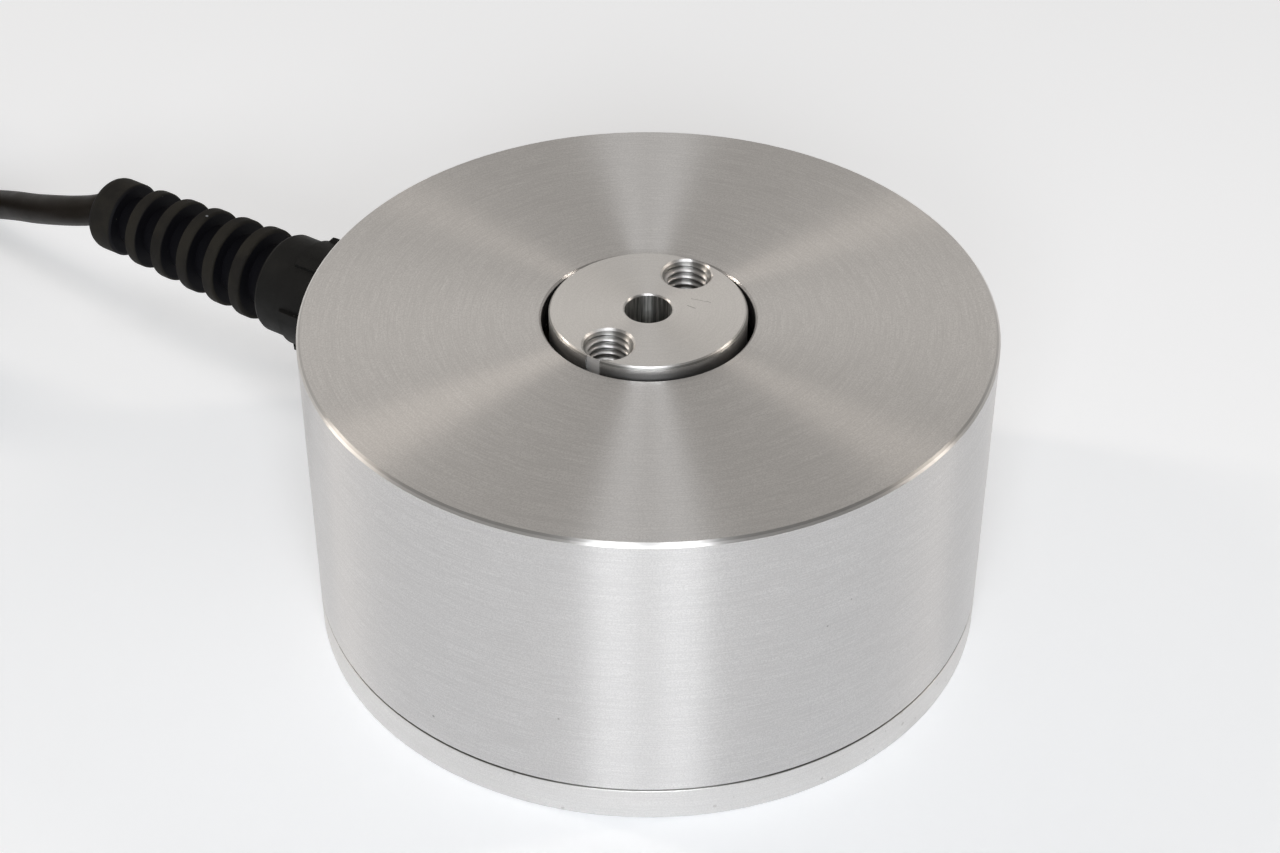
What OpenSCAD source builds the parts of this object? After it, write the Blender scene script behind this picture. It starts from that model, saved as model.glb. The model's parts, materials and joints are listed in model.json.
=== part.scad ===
// Force torque sensor: a turned housing over a cross-beam measuring body on a base plate,
// with an electronics board inside and a cable that leaves through a ribbed strain relief.
// Millimetres. The origin is the centre of the base plate's underside, +Z points up through
// the hub, +X runs through the two threaded holes of the hub, and the cable leaves along +Y.

/* [Housing] */
// Outer diameter of the housing and of the base plate
body_d = 88; // [86:1:100]
// Height of the housing's top face above the mounting surface
body_h = 44.4; // [41:0.2:50]
// Thickness of the housing's side wall
side_wall = 7; // [6.6:0.1:7.6]
// Thickness of the housing's top wall
top_wall = 4; // [3:0.25:5]
// Chamfer on the housing's top outer edge
rim_chamfer = 0.5; // [0.2:0.1:1]
// Chamfer round the housing's hub opening
opening_chamfer = 0.3; // [0.1:0.1:0.8]
// Fillet inside the housing between the side wall and the top wall
inner_fillet = 2; // [0.5:0.25:3]

/* [Base plate] */
// Thickness of the base plate's rim
base_t = 5.2; // [4.6:0.1:7]
// Height of the spigot that centres the housing
spigot_h = 2.8; // [2.4:0.1:4]
// Chamfer on the base plate's top edge
base_chamfer = 0.4; // [0.1:0.1:0.8]
// Chamfer on the base plate's bottom edge
foot_chamfer = 0.3; // [0.1:0.1:0.8]
// Radial clearance between the spigot and the housing
spigot_gap = 0.1; // [0.05:0.05:0.2]
// Cord diameter of the seal ring round the spigot
seal_cord = 1.4; // [1:0.1:1.6]

/* [Hub] */
// Diameter of the hub that takes the load
hub_d = 25; // [24:0.5:26]
// Height of the hub's face above the housing's top face
hub_proud = 1.1; // [0.6:0.1:2]
// Gap between the hub and the housing's opening
hub_gap = 0.95; // [0.5:0.05:1.5]
// Chamfer on the hub's top edge
hub_chamfer = 0.35; // [0.1:0.05:0.6]
// Diameter of the locating bore in the hub's centre
bore_d = 6; // [4:0.5:8]
// Depth of the locating bore
bore_depth = 14; // [8:1:18]
// Thread diameter of the hub's tapped holes
hub_thread_d = 6; // [4:1:6]
// Pitch circle diameter of the hub's tapped holes
hub_thread_pcd = 18; // [17:0.5:18]
// Depth of the hub's tapped holes
hub_thread_depth = 12; // [8:1:16]
// Countersink depth of the tapped holes
countersink = 0.35; // [0.2:0.05:0.5]
// Width of the shallow mark on the hub's rim
mark_w = 2; // [1:0.25:3]
// Depth of the mark
mark_depth = 0.2; // [0.1:0.05:0.4]
// Height of the mark
mark_h = 3; // [1.5:0.5:5]

/* [Measuring body] */
// Radial gap between the measuring body's ring and the housing
ring_gap = 1.5; // [1:0.25:2]
// Radial width of the ring
ring_w = 8; // [7.5:0.25:9]
// Height of the ring
ring_h = 16; // [15:0.5:16]
// Width of the four cross beams
beam_w = 9; // [6:0.5:10]
// Height of the four cross beams
beam_h = 9; // [6:0.5:10]
// Free height under the hub
hub_lift = 3; // [2:0.5:3.5]
// Thickness of the ring's flexible web behind each beam
web_t = 1.5; // [1:0.1:2]
// Width of the relief slot behind each web
slot_w = 1.5; // [1:0.1:1.8]
// Diameter of the round holes that end a relief slot
slot_end_d = 2.2; // [2:0.1:2.6]
// Half of the angle that a relief slot spans
slot_half_angle = 15; // [12:1:18]
// Fillet radius of the hub and ring where the beams join
beam_fillet = 1.5; // [0.5:0.25:2]

/* [Base mounting holes] */
// Thread diameter of the base plate's tapped mounting holes
base_thread_d = 6; // [4:1:6]
// Pitch circle diameter of the base plate's tapped mounting holes
base_thread_pcd = 44; // [40:1:45]
// Number of tapped mounting holes in the base plate
base_thread_count = 4; // [3:1:4]

/* [Fasteners] */
// Number of screws that hold the housing
housing_screws_n = 6; // [4:1:8]
// Thread diameter of the housing screws
housing_screw_d = 3; // [2.5:0.5:3]
// Length of the housing screws under the head
housing_screw_l = 8; // [6:1:12]
// Thread diameter of the measuring body's screws
ring_screw_d = 4; // [3:0.5:4]
// Length of the measuring body's screws under the head
ring_screw_l = 12; // [10:1:14]
// Angle between a measuring body screw and the middle of its quadrant
ring_screw_angle = 13; // [12:0.5:15]
// Diameter of the two dowel pins
dowel_d = 4; // [3:0.5:4]
// Length of the two dowel pins
dowel_l = 10; // [8:1:12]
// Gap round and under a screw head in its recess
head_gap = 0.25; // [0.1:0.05:0.3]
// Radial clearance of a screw in its plain hole
shank_gap = 0.2; // [0.1:0.05:0.3]
// Radial clearance of a thread or a reamed fit as modelled
fit_gap = 0.03; // [0.02:0.01:0.05]

/* [Gauges] */
// Length of a strain gauge
gauge_l = 5; // [3:0.5:5.5]
// Width of a strain gauge
gauge_w = 3.5; // [2:0.5:5]
// Thickness of a strain gauge with its cover
gauge_t = 0.2; // [0.1:0.05:0.3]
// Side of a solder terminal
terminal_w = 2; // [1:0.25:2.5]
// Thickness of a solder terminal
terminal_t = 0.3; // [0.2:0.05:0.5]
// Diameter of a gauge lead
gauge_lead_d = 0.5; // [0.3:0.1:0.8]

/* [Board] */
// Height of the spacers under the board
spacer_h = 5; // [4.9:0.1:6]
// Width across flats of a spacer
spacer_af = 5; // [4:0.5:5.5]
// Thread diameter of the board screws
board_screw_d = 2.5; // [2:0.5:2.5]
// Length of the board screws under the head
board_screw_l = 4; // [3.5:0.5:4.5]
// Thickness of the board
board_t = 1.6; // [1:0.2:2]
// Gap between the board's outer edge and the housing
board_gap = 2; // [1:0.25:2.5]
// Gap between the board's opening and the hub
board_hub_gap = 2; // [1:0.25:3]
// Width of the notch that lets the cable leads through
notch_w = 12; // [10:0.5:13]
// Width of the lead header
header_w = 12; // [10:0.5:12.5]
// Depth of the lead header
header_d = 6; // [5:0.25:6.5]
// Height of the lead header
header_h = 5; // [4.5:0.25:5.5]
// Wall of the lead header
header_wall = 0.8; // [0.6:0.1:1]

/* [Cable gland] */
// Height of the cable axis above the mounting surface
port_z = 26.3; // [26.3:0.1:26.9]
// Diameter of the gland's thread in the housing
port_d = 12; // [11:0.5:13]
// Depth of the flat face milled for the gland
spot_depth = 1; // [0.9:0.1:1.5]
// Diameter of the flat face milled for the gland
spot_d = 18; // [17.5:0.5:18.5]
// Thickness of the gasket under the gland
gasket_t = 1; // [0.6:0.1:1.5]
// Width across flats of the gland's hexagon
gland_af = 15; // [14:0.5:15]
// Length of the gland's hexagon
gland_hex_l = 4.5; // [3.5:0.25:5.5]
// Length of the gland's nut thread
gland_neck_l = 7; // [6.5:0.25:7.5]
// Diameter of the gland's nut thread
gland_neck_d = 12.4; // [12:0.2:12.8]
// Inner diameter of the clamping claw's seat in the gland
claw_seat_d = 10; // [9.5:0.25:10.5]
// Wall of the clamping claw
claw_wall = 1.3; // [1:0.1:1.5]
// Gap between the gland's hexagon and the cap nut
nut_gap = 0.4; // [0.2:0.1:0.8]
// Length of the cap nut's gripped part
nut_grip_l = 6.8; // [6.4:0.1:7.2]
// Diameter of the cap nut between its grip ribs
nut_d = 15.2; // [14.8:0.1:15.6]
// Diameter over the cap nut's grip ribs
nut_rib_d = 16.6; // [16.2:0.1:17.2]
// Number of grip ribs on the cap nut
nut_ribs = 6; // [4:1:8]
// Width of a grip rib
nut_rib_w = 1.6; // [1.2:0.1:2.4]
// Turn of the cap nut's grip ribs about the nut's axis
nut_turn = 8; // [0:1:59]
// Diameter of the cap nut's shoulder
nut_shoulder_d = 14.2; // [13.8:0.1:14.4]
// Length of the cap nut's shoulder
nut_shoulder_l = 4.9; // [4.2:0.1:5.5]

/* [Ribbed strain relief] */
// Number of thin ribs before the end collar
boot_ribs = 5; // [3:1:8]
// Distance from one rib to the next
rib_pitch = 5; // [4:0.25:6]
// Thickness of a rib
rib_t = 1.9; // [1.2:0.1:2.4]
// Diameter of the rib next to the cap nut
first_rib_d = 13.3; // [12:0.1:14]
// Diameter of the end collar
end_collar_d = 10.8; // [9.6:0.1:12]
// Length of the end collar
end_collar_l = 4.8; // [3:0.2:7]
// Rounding of the end collar's outer edge
end_round = 1.7; // [0.5:0.1:2]
// Diameter of the sleeve between the ribs at the cap nut
sleeve_d0 = 8.8; // [8:0.2:9.2]
// Diameter of the sleeve between the ribs at the end collar
sleeve_d1 = 6.8; // [6:0.2:8]
// Rounding of a rib's edge
rib_round = 0.35; // [0.1:0.05:0.5]
// Radial clearance of the cable in the gland and its strain relief
cable_gap = 0.05; // [0.03:0.01:0.1]

/* [Cable] */
// Diameter of the cable
cable_d = 4.5; // [4:0.1:4.6]
// Number of cores in the cable
cores_n = 6; // [4:1:6]
// Diameter of a core
core_d = 0.9; // [0.6:0.1:1]
// Distance from the housing's inner wall to the end of the cable's jacket
jacket_in = 5; // [4:0.25:5.5]
// Radius of the coil at the middle of its turns
coil_r = 21; // [20:1:25]
// Height of the coil
coil_h = 16; // [13.6:0.4:16.8]
// Width of the coil's bundle of turns
coil_w = 18; // [13:1:20]
// Thickness of the tie round the coil
tie_t = 0.5; // [0.3:0.1:0.5]
// Width of the tie round the coil
tie_w = 9; // [6:1:12]

/* [Plug] */
// Diameter of the plug's fluted grip sleeve
grip_d = 18.8; // [17.4:0.2:18.8]
// Length of the plug's fluted grip sleeve
grip_l = 13; // [10:0.5:16]
// Diameter of the plug's shell
shell_d = 15.4; // [14.6:0.2:15.8]
// Length of the plug's shell behind its grip sleeve
shell_l = 20; // [16:1:28]
// Diameter of the plug's cable nut
plug_nut_d = 12; // [10:0.5:13]
// Length of the plug's cable nut
plug_nut_l = 9; // [7:0.5:12]
// Number of contact pins in the plug
pins_n = 8; // [5:1:8]
// Diameter of a contact pin
pin_d = 1; // [0.6:0.1:1.2]

/* [Hidden] */

$fn = 96;
eps = 0.01;

body_r = body_d / 2;
inner_r = body_r - side_wall;
ceiling_z = body_h - top_wall;
opening_r = hub_d / 2 + hub_gap;

// base plate
base_top = base_t + spigot_h;
spigot_r = inner_r - spigot_gap;
seal_r = inner_r - seal_cord / 2 - fit_gap;
seal_z = base_t + spigot_h / 2;
seal_groove_r = seal_r - seal_cord / 2 - fit_gap;
seal_groove_h = seal_cord + 2 * fit_gap;

// hub and measuring body
hub_r = hub_d / 2;
hub_top = body_h + hub_proud;
hub_bottom = base_top + hub_lift;
ring_or = inner_r - ring_gap;
ring_ir = ring_or - ring_w;
ring_mid_r = ring_or - ring_w / 2;
ring_top = base_top + ring_h;
beam_z = base_top + (ring_h - beam_h) / 2;
beam_top = beam_z + beam_h;
slot_ir = ring_ir + web_t;
beams_n = 4;
quadrant = 360 / beams_n;

// socket head cap screws, by thread diameter
function head_d(d) = 1.75 * d + 0.25;
function head_h(d) = d;
function hex_af(d) = 0.8 * d;
housing_bore_depth = head_h(housing_screw_d) + head_gap;
ring_bore_depth = head_h(ring_screw_d) + head_gap;
housing_screw_r = body_r - side_wall / 2;
tap_margin = 2;
dowel_z = base_top - dowel_l / 2;

// board
board_z = ring_top + spacer_h;
board_top = board_z + board_t;
board_or = inner_r - board_gap;
board_ir = hub_r + board_hub_gap;
spacer_stud_l = 4;
board_head_h = 0.6 * board_screw_d;
board_head_d = 2 * board_screw_d;
header_y = board_ir + header_d / 2 + 2;
header_out_y = header_y + header_d / 2;
notch_y = header_out_y + 2;
plug_fit = 0.1;
lead_plug_h = header_h - 2 * header_wall - 2 * plug_fit;
lead_plug_w = header_w - 2 * header_wall - 2 * plug_fit;
lead_plug_z = board_top + header_wall + plug_fit;
lead_plug_out = 1.5;
header_pin_w = 0.5;

// strain gauges and their terminals, along a beam from the hub to the ring
gauge_r = hub_r + gauge_l / 2 + 1.5;
terminal_r = ring_ir - terminal_w / 2 - 1.5;
terminal_y = beam_w / 4;

// gland, as distances from the axis of the housing
spot_s = body_r - spot_depth;
gland_hex_s = spot_s + gasket_t;
gland_neck_s = gland_hex_s + gland_hex_l;
gland_end_s = gland_neck_s + gland_neck_l;
cap_s = gland_neck_s + nut_gap;
nut_l = nut_grip_l + nut_shoulder_l;
cap_end_s = cap_s + nut_l;
claw_s = gland_hex_s + 2.6;
claw_end_s = gland_end_s - 0.1;
boot_flange_s = gland_end_s + 0.1;
boot_flange_l = 1.8;
boot_flange_d = gland_neck_d - 0.4;
claw_slots = 6;
claw_slot_w = 0.8;
// the strain relief starts where the cap nut ends
boot_s = cap_end_s;
end_collar_s = boot_s + (boot_ribs + 1) * rib_pitch - rib_t;
boot_end_s = end_collar_s + end_collar_l;
cable_r = cable_d / 2;
jacket_end_y = inner_r - jacket_in;

// coil and plug
end_sink = 0.25;
coil_c = [0, 187];
coil_bottom = tie_t + 0.1;
outer_turn_r = coil_r + coil_w / 2 - cable_r;
coil_or = coil_r + coil_w / 2;
coil_ir = coil_r - coil_w / 2;
lead_in_z = coil_bottom + cable_r + end_sink;
lead_in_angle = -23;
lead_in_l = 16;
lead_out_z = 9.5;
lead_out_l = 26;
plug_hold = 5;
plug_x = coil_c[0] - outer_turn_r + end_sink;
plug_y = coil_c[1] - lead_out_l;
insert_wall = 1.2;
insert_l = 8;

// where the coil's first turn begins, and the end of its straight lead-in
lead_in_at = coil_c + (outer_turn_r - end_sink) * [cos(lead_in_angle), sin(lead_in_angle)];
lead_in_dir = [-sin(lead_in_angle), cos(lead_in_angle)];
lead_in_end = lead_in_at - lead_in_l * lead_in_dir;

// the cable's way from its strain relief down to the coil
cable_route = [
    [0, boot_end_s, port_z], [0, boot_end_s + 1, port_z], [0, 97, 25.1], [0, 100, 23.9],
    [0.4, 104, 22.3], [1.8, 111, 19.3], [3.8, 118, 16.2], [6.3, 126, 12.3], [9.2, 135, 7.9],
    [12.2, 143.4, 4.7], [14.9, 151, 3],
    [lead_in_end[0] - 3 * lead_in_dir[0], lead_in_end[1] - 3 * lead_in_dir[1], lead_in_z],
    [lead_in_end[0], lead_in_end[1], lead_in_z]];

// ---- shared shapes ----

// the direction of the cable at the port: local +Z becomes +Y
module at_port(s) translate([0, s, port_z]) rotate([-90, 0, 0]) children();

module ring_of(count, r, start = 0)
    for (i = [0 : count - 1]) rotate(start + i * 360 / count) translate([r, 0, 0]) children();

// a ring or tube standing on z = 0
module tube_of(r_out, r_in, h) {
    difference() {
        cylinder(h = h, r = r_out);
        translate([0, 0, -eps]) cylinder(h = h + 2 * eps, r = r_in);
    }
}

// a socket head cap screw that points up, with the underside of its head at z = 0
module cap_screw(d, l) {
    difference() {
        union() {
            translate([0, 0, -head_h(d)]) cylinder(h = head_h(d), d = head_d(d), $fn = 48);
            translate([0, 0, -eps]) cylinder(h = l + eps, d = d, $fn = 48);
        }
        translate([0, 0, -head_h(d) - eps])
            cylinder(h = head_h(d) / 2, d = hex_af(d) / cos(30), $fn = 6);
    }
}

// the recess, the plain hole and nothing else that such a screw needs in the base plate
module cap_screw_hole(d, depth, top) {
    translate([0, 0, -eps]) cylinder(h = depth + eps, d = head_d(d) + 2 * head_gap, $fn = 48);
    cylinder(h = top + eps, d = d + 2 * shank_gap, $fn = 48);
}

// a tapped hole from z = 0 down, at its nominal diameter, with a countersink
module tapped_hole(d, depth) {
    r = d / 2 + fit_gap;
    translate([0, 0, -depth]) cylinder(h = depth + eps, r = r);
    translate([0, 0, -countersink])
        cylinder(h = countersink + eps, r1 = r, r2 = r + countersink + eps);
}

// unit vectors for the sweep below
function unit(v) = v / norm(v);
function tangent(p, i) = unit(p[min(i + 1, len(p) - 1)] - p[max(i - 1, 0)]);
// a frame kept upright: one side vector level, the other square to it
function side_of(t) = let (c = cross(t, [0, 0, 1])) norm(c) < 0.05 ? [-1, 0, 0] : unit(c);
function sweep_ring(p, i, r, n) =
    let (t = tangent(p, i), a = side_of(t), b = cross(a, t))
    [for (k = [0 : n - 1]) p[i] + r * (cos(360 * k / n) * a + sin(360 * k / n) * b)];

// a round cord of radius r along the points p, with n sides
module cord(p, r, n) {
    m = len(p);
    points = [for (i = [0 : m - 1]) each sweep_ring(p, i, r, n)];
    walls = [for (i = [0 : m - 2], k = [0 : n - 1])
        each [[i * n + k, i * n + (k + 1) % n, (i + 1) * n + k],
              [i * n + (k + 1) % n, (i + 1) * n + (k + 1) % n, (i + 1) * n + k]]];
    start = [[for (k = [n - 1 : -1 : 0]) k]];
    end = [[for (k = [0 : n - 1]) (m - 1) * n + k]];
    polyhedron(concat(points), concat(walls, start, end));
}

// ---- body ----

module base_plate() color("lightgray") difference() {
    rotate_extrude($fn = 180) difference() {
        polygon([[0, 0], [body_r - foot_chamfer, 0], [body_r, foot_chamfer],
                 [body_r, base_t - base_chamfer], [body_r - base_chamfer, base_t],
                 [spigot_r, base_t], [spigot_r, base_top - 0.3], [spigot_r - 0.3, base_top],
                 [0, base_top]]);
        translate([seal_groove_r, seal_z - seal_groove_h / 2])
            square([spigot_r, seal_groove_h]);
    }
    translate([0, 0, -eps]) cylinder(h = base_top + 2 * eps, d = bore_d);
    ring_of(base_thread_count, base_thread_pcd / 2, quadrant / 2)
        mirror([0, 0, 1]) tapped_hole(base_thread_d, base_top + eps);
    ring_of(housing_screws_n, housing_screw_r, quadrant / 3)
        cap_screw_hole(housing_screw_d, housing_bore_depth, base_t);
    for (side = [-1, 1]) ring_of(beams_n, ring_mid_r, quadrant / 2 + side * ring_screw_angle)
        cap_screw_hole(ring_screw_d, ring_bore_depth, base_top);
    ring_of(2, ring_mid_r, quadrant / 2)
        translate([0, 0, dowel_z]) cylinder(h = dowel_l, r = dowel_d / 2 + fit_gap);
}

module housing() color("gainsboro") difference() {
    rotate_extrude($fn = 180) difference() {
        polygon([[0, base_t], [body_r, base_t], [body_r, body_h - rim_chamfer],
                 [body_r - rim_chamfer, body_h], [0, body_h]]);
        polygon(concat([[0, base_t - eps], [inner_r, base_t - eps]],
            [for (a = [0 : 15 : 90]) [inner_r - inner_fillet * (1 - cos(a)),
                                      ceiling_z - inner_fillet * (1 - sin(a))]],
            [[0, ceiling_z]]));
        polygon([[0, ceiling_z - eps], [opening_r, ceiling_z - eps],
                 [opening_r, body_h - opening_chamfer], [opening_r + opening_chamfer + eps,
                  body_h + eps], [0, body_h + eps]]);
    }
    at_port(inner_r - inner_fillet) cylinder(h = body_r, r = port_d / 2 + fit_gap);
    at_port(spot_s) cylinder(h = body_r, d = spot_d);
    ring_of(housing_screws_n, housing_screw_r, quadrant / 3) translate([0, 0, base_t - eps])
        cylinder(h = housing_screw_l + tap_margin, r = housing_screw_d / 2 + fit_gap, $fn = 48);
}

// one cross beam with fillets where it leaves the hub and where it meets the ring
module beam_outline() {
    reach = ring_ir + web_t / 2;
    difference() {
        union() {
            translate([0, -beam_w / 2]) square([reach, beam_w]);
            translate([hub_r - 1, -beam_w / 2 - beam_fillet])
                square([1 + beam_fillet, beam_w + 2 * beam_fillet]);
            translate([ring_ir - 1 - beam_fillet, -beam_w / 2 - beam_fillet])
                square([1 + beam_fillet + web_t / 2, beam_w + 2 * beam_fillet]);
        }
        for (side = [-1, 1]) {
            translate([hub_r + beam_fillet, side * (beam_w / 2 + beam_fillet)])
                circle(r = beam_fillet, $fn = 32);
            translate([ring_ir - 1 - beam_fillet, side * (beam_w / 2 + beam_fillet)])
                circle(r = beam_fillet, $fn = 32);
        }
    }
}

// the curved relief slot behind a beam, with a wider round hole at each end
module relief_slot() {
    mid = slot_ir + slot_w / 2;
    intersection() {
        difference() {
            circle(r = slot_ir + slot_w);
            circle(r = slot_ir);
        }
        polygon([[0, 0], [2 * mid, -2 * mid * tan(slot_half_angle)],
                 [2 * mid, 2 * mid * tan(slot_half_angle)]]);
    }
    for (side = [-1, 1]) rotate(side * slot_half_angle) translate([mid, 0])
        circle(d = slot_end_d, $fn = 32);
}

module measuring_body() color("silver") difference() {
    union() {
        rotate_extrude($fn = 128) polygon([[0, hub_bottom], [hub_r - 0.5, hub_bottom],
            [hub_r, hub_bottom + 0.5], [hub_r, hub_top - hub_chamfer],
            [hub_r - hub_chamfer, hub_top], [0, hub_top]]);
        translate([0, 0, base_top]) linear_extrude(ring_h) difference() {
            circle(r = ring_or, $fn = 128);
            circle(r = ring_ir, $fn = 128);
        }
        translate([0, 0, beam_z]) linear_extrude(beam_h)
            for (i = [0 : beams_n - 1]) rotate(i * quadrant) beam_outline();
    }
    translate([0, 0, base_top - eps]) linear_extrude(ring_h + 2 * eps)
        for (i = [0 : beams_n - 1]) rotate(i * quadrant) relief_slot();
    translate([0, 0, hub_top - bore_depth]) {
        cylinder(h = bore_depth + eps, d = bore_d);
        translate([0, 0, bore_depth - countersink / 2])
            cylinder(h = countersink, d1 = bore_d, d2 = bore_d + 2 * countersink);
        translate([0, 0, eps - bore_d / 4]) cylinder(h = bore_d / 4, d1 = eps, d2 = bore_d);
    }
    ring_of(2, hub_thread_pcd / 2) translate([0, 0, hub_top])
        tapped_hole(hub_thread_d, hub_thread_depth);
    translate([-hub_r - eps, -mark_w / 2, hub_top - mark_h])
        cube([mark_depth + eps, mark_w, mark_h + eps]);
    for (side = [-1, 1]) ring_of(beams_n, ring_mid_r, quadrant / 2 + side * ring_screw_angle)
        translate([0, 0, base_top - eps])
            cylinder(h = ring_screw_l + ring_bore_depth - base_top + tap_margin,
                     r = ring_screw_d / 2 + fit_gap, $fn = 48);
    ring_of(2, ring_mid_r, quadrant / 2)
        translate([0, 0, dowel_z]) cylinder(h = dowel_l, r = dowel_d / 2 + fit_gap);
    ring_of(beams_n, ring_mid_r, quadrant / 2) translate([0, 0, ring_top - spacer_stud_l - 0.5])
        cylinder(h = spacer_stud_l + 1, r = board_screw_d / 2 + fit_gap, $fn = 48);
}

module housing_seal() color("dimgray")
    rotate_extrude($fn = 128) translate([seal_r, seal_z]) circle(d = seal_cord, $fn = 24);

module housing_screws() color("gray")
    ring_of(housing_screws_n, housing_screw_r, quadrant / 3)
        translate([0, 0, housing_bore_depth]) cap_screw(housing_screw_d, housing_screw_l);

module ring_screws() color("gray")
    for (side = [-1, 1]) ring_of(beams_n, ring_mid_r, quadrant / 2 + side * ring_screw_angle)
        translate([0, 0, ring_bore_depth]) cap_screw(ring_screw_d, ring_screw_l);

module dowel_pins() color("silver") ring_of(2, ring_mid_r, quadrant / 2)
    translate([0, 0, dowel_z]) cylinder(h = dowel_l, d = dowel_d, $fn = 48);

// ---- gauges ----

// gauges lie on the top, the underside and both sides of each beam, near the hub
module strain_gauges() color("peru")
    for (i = [0 : beams_n - 1]) rotate(i * quadrant) {
        for (z = [beam_z - gauge_t, beam_top])
            translate([gauge_r - gauge_l / 2, -gauge_w / 2, z]) cube([gauge_l, gauge_w, gauge_t]);
        for (y = [-beam_w / 2 - gauge_t, beam_w / 2])
            translate([gauge_r - gauge_l / 2, y, (beam_z + beam_top - gauge_w) / 2])
                cube([gauge_l, gauge_t, gauge_w]);
    }

module at_terminals() for (i = [0 : beams_n - 1]) rotate(i * quadrant)
    for (side = [-1, 1]) translate([terminal_r, side * terminal_y, beam_top]) children();

module solder_terminals() color("goldenrod") at_terminals()
    translate([-terminal_w / 2, -terminal_w / 2, 0]) cube([terminal_w, terminal_w, terminal_t]);

// each lead stands on its terminal and reaches up to the board
module gauge_leads() color("firebrick") at_terminals()
    translate([0, 0, terminal_t])
        cylinder(h = board_z - beam_top - terminal_t, d = gauge_lead_d, $fn = 24);

// ---- board ----

module board_spacers() color("lightgray") ring_of(beams_n, ring_mid_r, quadrant / 2) {
    difference() {
        translate([0, 0, ring_top]) cylinder(h = spacer_h, d = spacer_af / cos(30), $fn = 6);
        translate([0, 0, board_z + board_t - board_screw_l - 0.5])
            cylinder(h = board_screw_l + 1, r = board_screw_d / 2 + fit_gap, $fn = 48);
    }
    translate([0, 0, ring_top - spacer_stud_l])
        cylinder(h = spacer_stud_l + eps, d = board_screw_d, $fn = 48);
}

module circuit_board() color("seagreen") translate([0, 0, board_z]) difference() {
    linear_extrude(board_t) difference() {
        circle(r = board_or, $fn = 128);
        circle(r = board_ir, $fn = 128);
        translate([-notch_w / 2, notch_y]) square([notch_w, board_or]);
    }
    ring_of(beams_n, ring_mid_r, quadrant / 2) translate([0, 0, -eps])
        cylinder(h = board_t + 2 * eps, r = board_screw_d / 2 + shank_gap, $fn = 48);
}

module board_screws() color("silver") ring_of(beams_n, ring_mid_r, quadrant / 2)
    translate([0, 0, board_top]) {
        difference() {
            cylinder(h = board_head_h, d = board_head_d, $fn = 48);
            translate([-board_head_d / 2, -0.3, board_head_h / 2])
                cube([board_head_d, 0.6, board_head_h]);
        }
        translate([0, 0, -board_screw_l])
            cylinder(h = board_screw_l + eps, d = board_screw_d, $fn = 48);
    }

// one amplifier for each of the six measured forces and torques
chip_l = 5;
chip_w = 4;
chip_h = 1.5;
chip_r = (board_or + board_ir) / 2;
chip_angles = [-60, -22, 22, 158, 202, 240];
module amplifier_chips() color("black") for (a = chip_angles) rotate(a)
    translate([chip_r - chip_w / 2, -chip_l / 2, board_top]) cube([chip_w, chip_l, chip_h]);

processor_w = 10;
processor_h = 1.4;
module processor_chip() color("black")
    translate([-processor_w / 2, -chip_r - processor_w / 2, board_top])
        cube([processor_w, processor_w, processor_h]);

capacitor_angles = [-75, -33, 0, 33, 147, 180, 213, 255];
module board_capacitors() color("burlywood") for (a = capacitor_angles) rotate(a)
    translate([chip_r + 3, -1, board_top]) cube([2, 1.2, 1]);

module lead_header() color("ivory") difference() {
    translate([-header_w / 2, header_y - header_d / 2, board_top])
        cube([header_w, header_d, header_h]);
    translate([-header_w / 2 + header_wall, header_y - header_d / 2 + header_wall,
               board_top + header_wall])
        cube([header_w - 2 * header_wall, header_d, header_h - 2 * header_wall]);
    at_header_pins() translate([-header_pin_w / 2 - fit_gap, -header_wall - eps, 0])
        translate([0, 0, -header_pin_w / 2 - fit_gap])
            cube([header_pin_w + 2 * fit_gap, 2 * header_wall,
                  header_pin_w + 2 * fit_gap]);
}

// the places where the contact pins come through the back of the header
core_pitch = (lead_plug_w - 1) / cores_n;
function core_x(i) = (i - (cores_n - 1) / 2) * core_pitch;
lead_z = lead_plug_z + lead_plug_h / 2;
module at_header_pins() for (i = [0 : cores_n - 1])
    translate([core_x(i), header_y - header_d / 2 + header_wall, lead_z]) children();

// bent pins: level through the header's back, then down to the board
module header_pins() color("gold") at_header_pins() {
    translate([-header_pin_w / 2, -header_wall - 1, -header_pin_w / 2])
        cube([header_pin_w, header_wall + 1 + 1.2, header_pin_w]);
    translate([-header_pin_w / 2, -header_wall - 1, board_top - lead_z])
        cube([header_pin_w, header_pin_w, lead_z - board_top]);
}

module lead_plug() color("ivory") difference() {
    translate([-lead_plug_w / 2, header_y - header_d / 2 + header_wall + 1.3, lead_plug_z])
        cube([lead_plug_w, header_d - header_wall - 1.3 + lead_plug_out, lead_plug_h]);
    for (i = [0 : cores_n - 1]) translate([core_x(i), header_out_y + lead_plug_out - 1, lead_z])
        rotate([-90, 0, 0]) cylinder(h = 2, r = core_d / 2 + fit_gap, $fn = 24);
}

// the cores leave the jacket in a ring, turn up through the notch and enter the plug in a row,
// taken from left to right so that none crosses another
core_ring_r = cable_r - core_d / 2 - 0.4;
function core_start(i) = let (a = 180 + (i % 2 == 1 ? -1 : 1) * ceil(i / 2) * 360 / cores_n)
    [core_ring_r * cos(a), jacket_end_y, port_z + core_ring_r * sin(a)];
function core_route(i) = let (s = core_start(i), x = core_x(i),
        y = notch_y + 1.2 + core_d / 2, out = header_out_y + lead_plug_out)
    [s, s + [0, -1, 0], [(s[0] + x) / 2, (jacket_end_y + y) / 2 + 0.4, 0.8 * s[2] + 0.2 * board_z],
     [x, y, board_z + 0.2], [x, y, board_top + 0.4], [x, (y + out) / 2 + 0.4, lead_z - 0.5],
     [x, out, lead_z], [x, out - 0.9, lead_z]];
module cable_cores() color("royalblue") for (i = [0 : cores_n - 1])
    cord(core_route(i), core_d / 2, 8);

// ---- cable gland ----

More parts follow.
